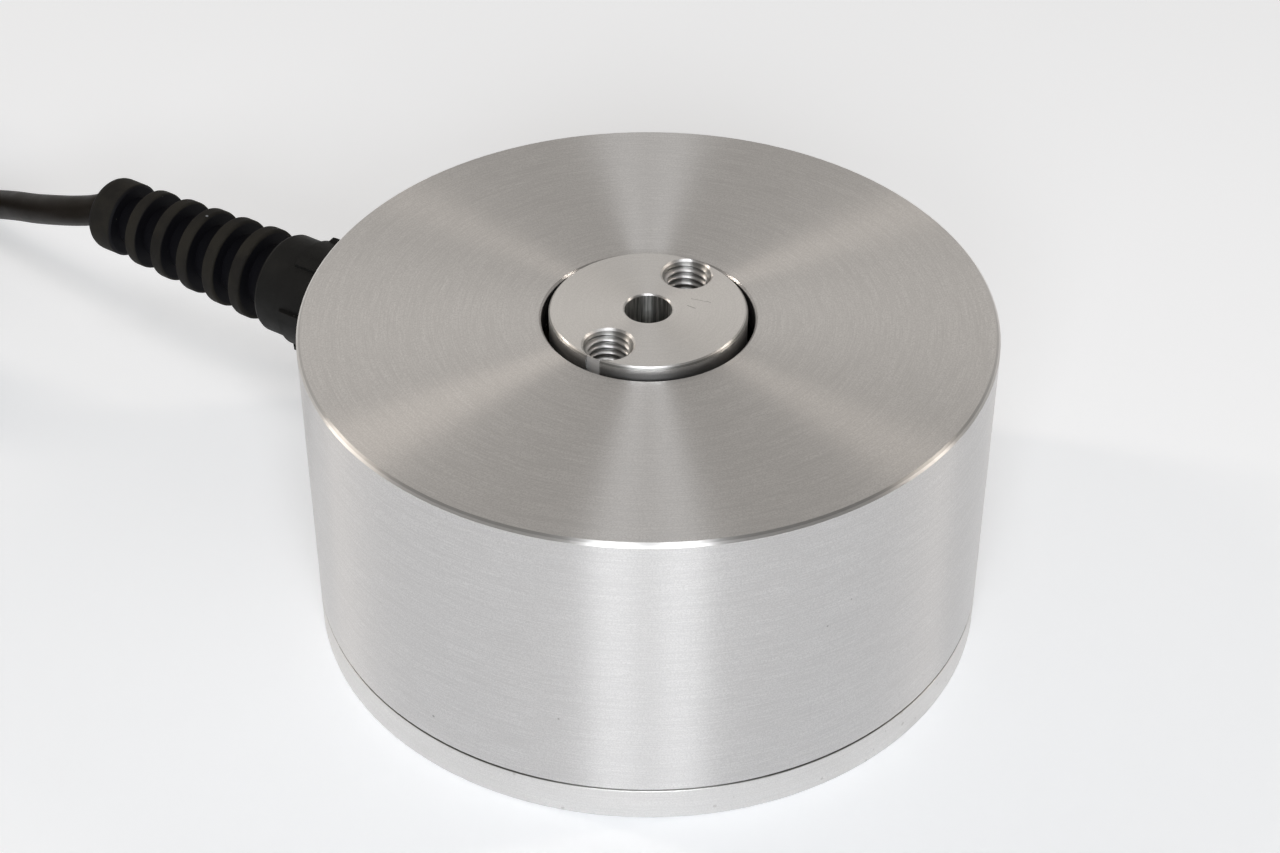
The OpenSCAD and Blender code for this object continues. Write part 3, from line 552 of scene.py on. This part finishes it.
# Marks of use as start, end and width in millimetres, or as place and width
HOUSING_SCRATCHES = [
    ((-40.7, 16.8, 22.0), (-42.7, 10.7, 22.8), 0.09),
    ((-8.8, -23.2, 44.4), (-10.2, -21.9, 44.4), 0.06),
]
HOUSING_PITS = [
    ((-43.9, 2.9, 8.9), 0.28),
    ((-41.6, -14.4, 15.9), 0.2),
    ((-17.9, -40.2, 30.0), 0.16),
    ((-20.8, -38.8, 27.2), 0.2),
]
HUB_SCRATCHES = [
    ((4.7, -3.4, 45.5), (5.1, -4.9, 45.5), 0.07),
    ((5.0, -5.1, 45.5), (5.3, -5.3, 45.5), 0.06),
    ((5.3, -5.3, 45.5), (5.3, -5.9, 45.5), 0.08),
    ((3.2, -3.8, 45.5), (3.2, -4.9, 45.5), 0.11),
]

# How deep the metals' marks may press in, and how far the grain darkens a tone
METAL_RELIEF = 0.02 * MM
GRAIN_SIZE = 0.18 * MM
GRAIN_DARKER = 0.975

# The painted highlight of the rim's bevel, and the pale metal of the witness mark
RIM_PAINTED_HIGHLIGHT = (0.93, 0.92, 0.91)
MARK_METAL = (0.93, 0.93, 0.93)


def round_axis(tree, spot, centre=(0, 0, 0), axis=(0, 0, 1)):
    """The direction round an axis at each place, the axis crossed with the arm from its centre.
    It gives the lathe marks' direction to a shader's own Tangent."""
    arm = vector(tree, "SUBTRACT", spot, centre)
    return vector(tree, "NORMALIZE", vector(tree, "CROSS_PRODUCT", axis, arm))


def turned_metal(name, groups, colour, dark, roughness, pitch, streak, depth, wear_and_painted_light, anisotropy):
    """Bare turned aluminium: rings in tone and relief, a fine even grain over them, gloss drawn
    out across the rings, and the piece's own wear together with its painted light and shade."""
    material, tree, shader = new_material(name)
    spot = place(tree)
    marks = put(tree, groups["turned_marks"], Place=spot, Pitch=pitch, Streak=streak)
    tone = mix(tree, marks["Tone"], dark, colour)
    grain = put(tree, groups["grain"], Place=spot, Size=GRAIN_SIZE)["Height"]
    deeper = tuple(GRAIN_DARKER * part for part in dark)
    tone = tint(tree, tone, ramp(tree, grain, 0.35, 0.70), deeper)
    rough = ramp(tree, marks["Tone"], 0.0, 1.0, roughness * 1.04, roughness * 0.96)
    # The piece's own wear, with painted shade and painted highlight added to the tone
    tone, rough, relief = wear_and_painted_light(tree, groups, spot, tone, rough, marks["Height"])
    surface(
        tree,
        shader,
        Base_Color=tone,
        Roughness=rough,
        Metallic=1.0,
        Anisotropic=anisotropy,
        Anisotropic_Rotation=0.25,
        Normal=bump(tree, relief, depth, METAL_RELIEF),
        Tangent=round_axis(tree, spot),
    )
    return material


def chamfer(tree, radius, height, edge_r, edge_z, width, fade):
    """1 on a chamfer of 45 degrees: there the radius and the height add up to the sharp edge's
    own sum less the chamfer's width."""
    total = calc(tree, "ADD", radius, height)
    sharp = edge_r + edge_z - width
    return ramp(tree, total, sharp - fade, sharp - 0.01 * MM)


def housing_wear_with_painted_light(tree, groups, spot, tone, rough, relief):
    """The housing's few marks of use: scratches on its side and top, and pits on its side. Then
    painted shade on the wall of its opening, and a painted highlight and painted shade on its
    bevelled rim."""
    for start, end, width in HOUSING_SCRATCHES:
        line = scratch(tree, groups, spot, start, end, width)
        tone = tint(tree, tone, line, (0.42, 0.41, 0.40), 0.5)
        relief = calc(tree, "SUBTRACT", relief, product(tree, line, 0.5))
    for centre, width in HOUSING_PITS:
        tone = tint(tree, tone, dot(tree, groups, spot, centre, width), (0.25, 0.24, 0.23), 0.8)
    x, y, z = split(tree, spot)
    radius = reach(tree, x, y)
    # Painted shade in the opening, and painted highlight and shade on the rim's bevel
    tone = painted_opening_shade(tree, radius, z, tone)
    tone, rough = rim_painted_highlight_and_shade(tree, radius, z, tone, rough)
    return tone, rough, relief


def painted_opening_shade(tree, radius, z, tone):
    """The opening's wall, inside the chamfer at its mouth, painted near black: a painted shade of
    the gap.
    """
    inside = calc(tree, "LESS_THAN", radius, OPENING_R)
    below = calc(tree, "LESS_THAN", z, TOP_Z - 0.25 * MM)
    # Painted shade on the opening's wall
    return tint(tree, tone, product(tree, inside, below), (0.06, 0.06, 0.06), 0.9)


def rim_painted_highlight_and_shade(tree, radius, z, tone, rough):
    """The rim's bevel, less glossy than the faces: its lower half painted pale, a painted highlight,
    and its upper half painted darker, a painted shade.
    """
    rim = chamfer(tree, radius, z, BODY_R, TOP_Z, RIM_CHAMFER, 0.06 * MM)
    upper = ramp(tree, z, TOP_Z - 0.29 * MM, TOP_Z - 0.21 * MM)
    # Painted highlight on the bevel, then painted shade on its upper half
    tone = tint(tree, tone, rim, RIM_PAINTED_HIGHLIGHT)
    tone = tint(tree, tone, product(tree, rim, upper), (0.67, 0.66, 0.65))
    return tone, calc(tree, "ADD", rough, product(tree, rim, 0.08))


def hub_wear_with_painted_shade(tree, groups, spot, tone, rough, relief):
    """The hub's witness mark, the dull wall of its bore, painted shade on the lower half of its
    bevel and in the valleys of its threads, and its scratches."""
    x, y, z = split(tree, spot)
    radius = reach(tree, x, y)
    within = calc(tree, "LESS_THAN", z, HUB_TOP - 0.25 * MM)
    tone, rough = witness_mark(tree, x, y, tone, rough)
    tone = bore_wall(tree, spot, radius, within, tone)
    # Painted shade on the bevel's lower half and in the thread valleys
    tone = hub_bevel_painted_shade(tree, radius, z, tone)
    tone = painted_thread_valley_shade(tree, x, y, within, tone)
    for start, end, width in HUB_SCRATCHES:
        line = scratch(tree, groups, spot, start, end, width)
        tone = tint(tree, tone, line, (0.22, 0.21, 0.20), 0.7)
    return tone, rough, relief


def witness_mark(tree, x, y, tone, rough):
    """A pale, duller band 2 mm wide across the rim on the -X side. The small walls at its two
    ends are dark, so that they don't glint."""
    beside = calc(tree, "ABSOLUTE", y)
    near = ramp(tree, beside, 1.1 * MM, 1.0 * MM)
    rim = ramp(tree, x, -11.3 * MM, -11.5 * MM)
    band = product(tree, near, rim, 0.85)
    tone = tint(tree, tone, band, MARK_METAL)
    outside = ramp(tree, beside, 0.95 * MM, 0.98 * MM)
    inside = ramp(tree, beside, 1.06 * MM, 1.02 * MM)
    tone = tint(tree, tone, product(tree, outside, inside, rim), (0.30, 0.30, 0.30))
    return tone, calc(tree, "ADD", rough, product(tree, band, 0.3))


def bore_wall(tree, spot, radius, within, tone):
    """The bore's wall, in dull streaks along its axis."""
    middle = calc(tree, "LESS_THAN", radius, BORE_R + 0.1 * MM)
    drawn_out = add(tree, "ShaderNodeMapping", {0: spot, 3: (2500, 2500, 120)}).outputs[0]
    streaks = ramp(tree, noise(tree, drawn_out, 1.0, 2.0, 0.7), 0.35, 0.65)
    dull = mix(tree, streaks, (0.34, 0.34, 0.33), (0.86, 0.86, 0.84))
    return tint(tree, tone, product(tree, within, middle), dull)


def hub_bevel_painted_shade(tree, radius, z, tone):
    """The lower half of the hub's bevel, painted darker than the upper: a painted shade that thins
    its glint.
    """
    edge = chamfer(tree, radius, z, HUB_R, HUB_TOP, HUB_CHAMFER, 0.07 * MM)
    lower = ramp(tree, z, HUB_TOP - 0.14 * MM, HUB_TOP - 0.20 * MM)
    above = calc(tree, "GREATER_THAN", z, HUB_TOP - HUB_CHAMFER - 0.02 * MM)
    # Painted shade on the bevel's lower half
    return tint(tree, tone, product(tree, edge, lower, above), (0.36, 0.36, 0.35))


def painted_thread_valley_shade(tree, x, y, within, tone):
    """The valleys of the hub's two threads, where the distance from a hole's axis is largest,
    darkened with painted shade.
    """
    beside = calc(tree, "SUBTRACT", calc(tree, "ABSOLUTE", x), HUB_HOLE_X)
    out = reach(tree, beside, y)
    deep = ramp(tree, out, 2.6 * MM, 2.95 * MM)
    in_hole = calc(tree, "LESS_THAN", out, 3.2 * MM)
    # Painted shade in the thread valleys
    return tint(tree, tone, product(tree, within, deep, in_hole), (0.20, 0.20, 0.19), 0.8)


def base_wear_with_painted_shade(tree, groups, spot, tone, rough, relief):
    """The base plate's duller, slightly pitted skin, and a painted shade on the inner part of the
    bevel at its joint with the housing."""
    specks = {"Spacing": 1.6 * MM, "Size": 0.22 * MM, "Share": 0.35}
    pits = put(tree, groups["specks"], Place=spot, **specks)["Mask"]
    tone = tint(tree, tone, pits, (0.40, 0.38, 0.36), 0.35)
    patch = put(tree, groups["grain"], Place=spot, Size=0.3 * MM)["Patch"]
    rough = calc(tree, "ADD", rough, product(tree, patch, 0.08))
    x, y, z = split(tree, spot)
    # Painted shade in the joint's bevel
    inward = ramp(tree, reach(tree, x, y), BODY_R - 0.03 * MM, BODY_R - 0.09 * MM)
    bevel = calc(tree, "GREATER_THAN", z, JOINT_Z - BASE_CHAMFER - 0.01 * MM)
    tone = tint(tree, tone, product(tree, inward, bevel), (0.14, 0.14, 0.13))
    return tone, rough, calc(tree, "SUBTRACT", relief, product(tree, pits, 0.6))


def plain_metal(name, groups, colour, roughness):
    """Plain metal with a slight grain in its gloss and colour."""
    material, tree, shader = new_material(name)
    grain = put(tree, groups["grain"], Place=place(tree), Size=0.4 * MM)
    darker = tuple(0.86 * part for part in colour)
    surface(
        tree,
        shader,
        Base_Color=mix(tree, grain["Patch"], darker, colour),
        Metallic=1.0,
        Roughness=ramp(tree, grain["Patch"], 0, 1, roughness * 1.15, roughness * 0.9),
        Normal=bump(tree, grain["Height"], 0.15, METAL_RELIEF),
    )
    return material


def plug_metal(groups):
    """The plug's satin nickel, turned about the plug's own axis."""
    material, tree, shader = new_material("plug_metal")
    spot = place(tree)
    x, y, z = split(tree, spot)
    own_x, own_y = calc(tree, "SUBTRACT", x, PLUG_X), calc(tree, "SUBTRACT", z, PLUG_Z)
    own_place = join(tree, own_x, own_y, y)
    marks = put(tree, groups["turned_marks"], Place=own_place, Pitch=0.2 * MM, Streak=6 * MM)
    surface(
        tree,
        shader,
        Base_Color=mix(tree, marks["Tone"], (0.54, 0.53, 0.51), (0.63, 0.62, 0.60)),
        Metallic=1.0,
        Roughness=ramp(tree, marks["Tone"], 0, 1, 0.30, 0.26),
        Anisotropic=0.7,
        Anisotropic_Rotation=0.25,
        Normal=bump(tree, marks["Height"], 0.015, METAL_RELIEF),
        Tangent=round_axis(tree, spot, (PLUG_X, 0, PLUG_Z), (0, 1, 0)),
    )
    return material


# ---- plastics, rubber and the rest ----

PLASTIC_RELIEF = 0.05 * MM
PLASTIC_GRAIN = 0.3 * MM

# Radius of the strain relief's ribs where it starts and ends, and the place, width and length in
# millimetres of its one pale speck
RIB_R = (6.65 * MM, 5.4 * MM)
BOOT_SPECK = ((-0.1, 74.1, 32.3), 0.3, 0.02)


def plastic(name, groups, colour, roughness, size=PLASTIC_GRAIN, depth=0.2, shine=0.5, dust=0.0):
    """Moulded plastic or rubber: fine grain in relief, slow patches in tone and gloss, and on
    some a share of pale dust."""
    material, tree, shader = new_material(name)
    spot = place(tree)
    grain = put(tree, groups["grain"], Place=spot, Size=size)
    other = tuple(0.85 * part for part in colour)
    tone = mix(tree, grain["Patch"], other, colour)
    if dust:
        specks = {"Spacing": 1.1 * MM, "Size": 0.09 * MM, "Share": dust}
        motes = put(tree, groups["specks"], Place=spot, **specks)["Mask"]
        tone = tint(tree, tone, motes, (0.16, 0.16, 0.15), 0.6)
    surface(
        tree,
        shader,
        Base_Color=tone,
        Roughness=ramp(tree, grain["Patch"], 0, 1, roughness * 1.1, roughness * 0.92),
        Normal=bump(tree, grain["Height"], depth, PLASTIC_RELIEF),
        Specular_IOR_Level=shine,
    )
    return material


def boot_rubber(groups):
    """The strain relief's rubber. The crests of its ribs carry a painted highlight, a lighter
    brown, where the distance from the cable's axis comes near the ribs' own radius, which falls
    along it."""
    material, tree, shader = new_material("boot_rubber")
    spot = place(tree)
    x, y, z = split(tree, spot)
    out = reach(tree, x, calc(tree, "SUBTRACT", z, PORT_Z))
    rib = ramp(tree, y, BOOT_START, BOOT_END, *RIB_R, kind="LINEAR")
    crest = ramp(tree, calc(tree, "SUBTRACT", out, rib), -0.40 * MM, -0.12 * MM)
    grain = put(tree, groups["grain"], Place=spot, Size=0.22 * MM)
    # Painted highlight on the rib crests, patchy with the grain
    crest_painted_highlight = product(tree, crest, ramp(tree, grain["Patch"], 0, 1, 0.55, 1.0))
    specks = {"Spacing": 1.2 * MM, "Size": 0.09 * MM, "Share": 0.12}
    dust = put(tree, groups["specks"], Place=spot, **specks)["Mask"]
    tone = mix(tree, crest_painted_highlight, (0.004, 0.004, 0.006), (0.023, 0.021, 0.017))
    tone = tint(tree, tone, dust, (0.20, 0.19, 0.17), 0.5)
    tone = tint(tree, tone, dot(tree, groups, spot, *BOOT_SPECK), (0.55, 0.58, 0.62))
    surface(
        tree,
        shader,
        Base_Color=tone,
        Roughness=ramp(tree, crest, 0, 1, 0.62, 0.72),
        Normal=bump(tree, grain["Height"], 0.35, 0.06 * MM),
        Specular_IOR_Level=0.15,
    )
    return material


def woven(groups, name, thread, gap):
    """Woven strap: the product of two crossed waves is the weave's relief and its dark gaps."""
    material, tree, shader = new_material(name)
    spot = place(tree)
    x, y, z = split(tree, spot)
    waves_per_metre = 9000.0
    over = calc(tree, "SINE", product(tree, x, waves_per_metre))
    under = calc(tree, "SINE", product(tree, calc(tree, "ADD", y, z), waves_per_metre))
    weave = ramp(tree, product(tree, over, under), -0.6, 0.6)
    fuzz = put(tree, groups["grain"], Place=spot, Size=0.3 * MM)["Patch"]
    tone = tint(tree, mix(tree, weave, gap, thread), fuzz, gap, 0.3)
    normal = bump(tree, weave, 0.5, 0.15 * MM)
    surface(tree, shader, Base_Color=tone, Roughness=0.85, Normal=normal)
    return material


def striped(groups, name, film, wire, wires_per_metre):
    """A strain gauge: the fine grid of its wires across amber film."""
    material, tree, shader = new_material(name)
    spot = place(tree)
    x, y = split(tree, spot)[:2]
    across = product(tree, calc(tree, "ADD", x, y), wires_per_metre * math.tau)
    grid = ramp(tree, calc(tree, "SINE", across), 0.2, 0.5)
    patch = put(tree, groups["grain"], Place=spot, Size=0.3 * MM)["Patch"]
    tone = tint(tree, film, grid, wire, 0.8)
    surface(
        tree,
        shader,
        Base_Color=tint(tree, tone, patch, film, 0.2),
        Metallic=product(tree, grid, 0.7),
        Roughness=0.35,
        Normal=bump(tree, grid, 0.2, METAL_RELIEF),
    )
    return material


def circuit_board(groups):
    """Green solder mask with a slight relief of tracks, which are the edges of square cells."""
    material, tree, shader = new_material("board_green")
    spot = place(tree)
    cells = {"Vector": spot, "Scale": 420.0, "Randomness": 0.55}
    square = {"feature": "F1", "distance": "CHEBYCHEV"}
    tracks = add(tree, "ShaderNodeTexVoronoi", cells, **square).outputs["Distance"]
    line = ramp(tree, tracks, 0.36, 0.42)
    patch = put(tree, groups["grain"], Place=spot, Size=0.4 * MM)["Patch"]
    tone = mix(tree, line, (0.016, 0.11, 0.045), (0.035, 0.20, 0.085))
    tone = tint(tree, tone, patch, (0.02, 0.13, 0.06), 0.25)
    normal = bump(tree, line, 0.3, 0.03 * MM)
    surface(tree, shader, Base_Color=tone, Roughness=0.32, Normal=normal)
    return material


# ---- the materials by slot ----


def turned_metals(groups):
    """The three turned pieces' bare aluminium: the housing's, the base plate's and the hub's."""
    return {
        "turned_aluminium": turned_metal(
            "turned_aluminium",
            groups,
            colour=(0.825, 0.815, 0.81),
            dark=(0.675, 0.665, 0.66),
            roughness=0.30,
            pitch=0.18 * MM,
            streak=6 * MM,
            depth=0.30,
            wear_and_painted_light=housing_wear_with_painted_light,
            anisotropy=1.0,
        ),
        "base_aluminium": turned_metal(
            "base_aluminium",
            groups,
            colour=(0.86, 0.85, 0.84),
            dark=(0.76, 0.75, 0.74),
            roughness=0.40,
            pitch=0.2 * MM,
            streak=8 * MM,
            depth=0.2,
            wear_and_painted_light=base_wear_with_painted_shade,
            anisotropy=0.6,
        ),
        "hub_aluminium": turned_metal(
            "hub_aluminium",
            groups,
            colour=(0.86, 0.85, 0.84),
            dark=(0.78, 0.77, 0.76),
            roughness=0.36,
            pitch=0.16 * MM,
            streak=6 * MM,
            depth=0.12,
            wear_and_painted_light=hub_wear_with_painted_shade,
            anisotropy=0.7,
        ),
    }


def small_metals(groups):
    """The screws, pins, contacts, spacers and plug."""
    return {
        "screw_steel": plain_metal("screw_steel", groups, (0.42, 0.42, 0.43), 0.35),
        "pin_steel": plain_metal("pin_steel", groups, (0.62, 0.62, 0.63), 0.22),
        "contact_gold": plain_metal("contact_gold", groups, (0.90, 0.66, 0.28), 0.25),
        "spacer_brass": plain_metal("spacer_brass", groups, (0.72, 0.55, 0.28), 0.32),
        "plug_metal": plug_metal(groups),
    }


def dark_plastics(groups):
    """The black pieces: seals, gland, strain relief, cable, chips and tie."""
    gland = (0.0085, 0.0085, 0.008)
    jacket = (0.0095, 0.0070, 0.0048)
    black = (0.030, 0.030, 0.032)
    return {
        "seal_rubber": plastic("seal_rubber", groups, (0.025, 0.025, 0.026), 0.55),
        "gland_plastic": plastic(
            "gland_plastic", groups, gland, 0.62, size=0.2 * MM, depth=0.35, shine=0.2, dust=0.18
        ),
        "boot_rubber": boot_rubber(groups),
        "cable_jacket": plastic("cable_jacket", groups, jacket, 0.42, shine=0.10),
        "chip_black": plastic("chip_black", groups, black, 0.55),
        "tie_black": woven(groups, "tie_black", black, (0.012, 0.012, 0.013)),
    }


def electronics(groups):
    """The gauges, leads, cores, board, capacitors and connector."""
    return {
        "gauge_foil": striped(groups, "gauge_foil", (0.55, 0.30, 0.10), (0.42, 0.36, 0.30), 2600),
        "lead_red": plastic("lead_red", groups, (0.45, 0.06, 0.04), 0.35),
        "core_blue": plastic("core_blue", groups, (0.05, 0.12, 0.45), 0.35),
        "board_green": circuit_board(groups),
        "capacitor_tan": plastic("capacitor_tan", groups, (0.48, 0.36, 0.22), 0.5),
        "connector_ivory": plastic("connector_ivory", groups, (0.78, 0.74, 0.62), 0.5),
    }


def make_materials():
    """Every material by its slot's name."""
    groups = {
        "turned_marks": turned_marks_group(),
        "scratch": scratch_group(),
        "specks": specks_group(),
        "grain": grain_group(),
    }
    return {
        **turned_metals(groups),
        **small_metals(groups),
        **dark_plastics(groups),
        **electronics(groups),
    }


def dress_nodes(materials):
    """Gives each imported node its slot's material."""
    for entry in frame["record"]["subparts"]:
        node = frame["nodes"][entry["node"]]
        node.data.materials[0] = materials[entry["material_slot"]]


# ---- studio ----

LAMP_AIM = (0, 0, 0.03)
COOL_LOW = (0.95, 0.975, 1.0)
COOL_HIGH = (0.97, 0.98, 1.0)
WARM = (1.0, 0.90, 0.80)

# Each lamp's name, its place to the right, away and up as seen from the camera, its width and
# height, its power, and its colour
LAMPS = [
    ("low_key_1", (-0.144, -0.84, 0.47), 0.208, 0.22, 1.85, COOL_LOW),
    ("high_key_1", (-0.168, -0.66, 1.27), 0.24, 0.36, 1.36, COOL_HIGH),
    ("low_key_3", (0.144, -0.84, 0.47), 0.208, 0.22, 1.85, COOL_LOW),
    ("high_key_3", (0.168, -0.66, 1.27), 0.24, 0.36, 1.36, COOL_HIGH),
    ("right_strip", (0.66, 0.09, 0.47), 0.032, 0.40, 0.66, WARM),
    ("left_strip", (-0.66, 0.20, 0.47), 0.048, 0.40, 0.86, WARM),
]

# The room's own light: its colour, its strength in front and behind, and how much of it the
# right side lacks
ROOM_COLOUR = (1.0, 0.957, 0.905)
ROOM_FRONT = 0.20
ROOM_BEHIND = 0.62
ROOM_RIGHT_LACKS = 0.25

FLOOR_COLOUR = (0.935, 0.95, 0.975)
FLOOR_GLOW_COLOUR = (0.94, 0.97, 1.0)
FLOOR_GLOW = 0.25
FLOOR_HALF = 6.0
FLOOR_Z = -0.05 * MM


def lamp(name, at, width, height, power, colour):
    """A soft light: a rectangle at a place, turned to face the sensor."""
    data = bpy.data.lights.new(name, "AREA")
    data.shape = "RECTANGLE"
    data.size, data.size_y = width, height
    data.energy = power
    data.color = colour
    light = bpy.data.objects.new(name, data)
    light.location = at
    towards = np.array(LAMP_AIM) - np.array(at)
    yaw = math.atan2(towards[1], towards[0])
    pitch = math.atan2(towards[2], math.hypot(towards[0], towards[1]))
    light.rotation_euler = (pitch + math.pi / 2, 0, yaw - math.pi / 2)
    bpy.context.scene.collection.objects.link(light)


def make_room():
    """The light from all round, stronger behind the sensor and weaker on the right."""
    world = bpy.data.worlds.new("studio")
    bpy.context.scene.world = world
    world.use_nodes = True
    tree = world.node_tree
    tree.nodes.clear()
    sky = add(tree, "ShaderNodeTexCoord").outputs["Generated"]
    away = vector(tree, "DOT_PRODUCT", sky, from_camera_side(0, 1, 0))
    right = vector(tree, "DOT_PRODUCT", sky, from_camera_side(1, 0, 0))
    level = ramp(tree, away, 0.2, 0.85, ROOM_FRONT, ROOM_BEHIND)
    level = product(tree, level, calc(tree, "MULTIPLY_ADD", right, -ROOM_RIGHT_LACKS, 1.0))
    glow = add(tree, "ShaderNodeBackground", {"Color": ROOM_COLOUR, "Strength": level})
    add(tree, "ShaderNodeOutputWorld", {"Surface": glow.outputs[0]})


def make_studio():
    """The lamps and the room."""
    for name, seen_at, width, height, power, colour in LAMPS:
        lamp(name, from_camera_side(*seen_at), width, height, power, colour)
    make_room()


def floor_paint():
    """The floor's pale paint. A little glow, that only the camera, reflections and glass see,
    lifts it without lighting the sensor."""
    material, tree, shader = new_material("floor")
    rays = add(tree, "ShaderNodeLightPath").outputs
    seen = calc(tree, "ADD", rays["Is Camera Ray"], rays["Is Glossy Ray"])
    seen = calc(tree, "ADD", seen, rays["Is Transmission Ray"])
    surface(
        tree,
        shader,
        Base_Color=FLOOR_COLOUR,
        Roughness=0.6,
        Specular_IOR_Level=0.2,
        Emission_Color=FLOOR_GLOW_COLOUR,
        Emission_Strength=product(tree, seen, FLOOR_GLOW),
    )
    return material


def make_floor():
    """A wide floor, a hair under the base so that the two faces don't meet."""
    signs = [(-1, -1), (1, -1), (1, 1), (-1, 1)]
    corners = [(x * FLOOR_HALF, y * FLOOR_HALF, FLOOR_Z) for x, y in signs]
    mesh = bpy.data.meshes.new("floor")
    mesh.from_pydata(corners, [], [(0, 1, 2, 3)])
    floor = bpy.data.objects.new("floor", mesh)
    floor.data.materials.append(floor_paint())
    bpy.context.scene.collection.objects.link(floor)


make_camera()
materials = make_materials()
make_cable(materials)
make_threads(materials)
dress_nodes(materials)
make_studio()
make_floor()
bpy.context.scene.view_settings.view_transform = "Standard"
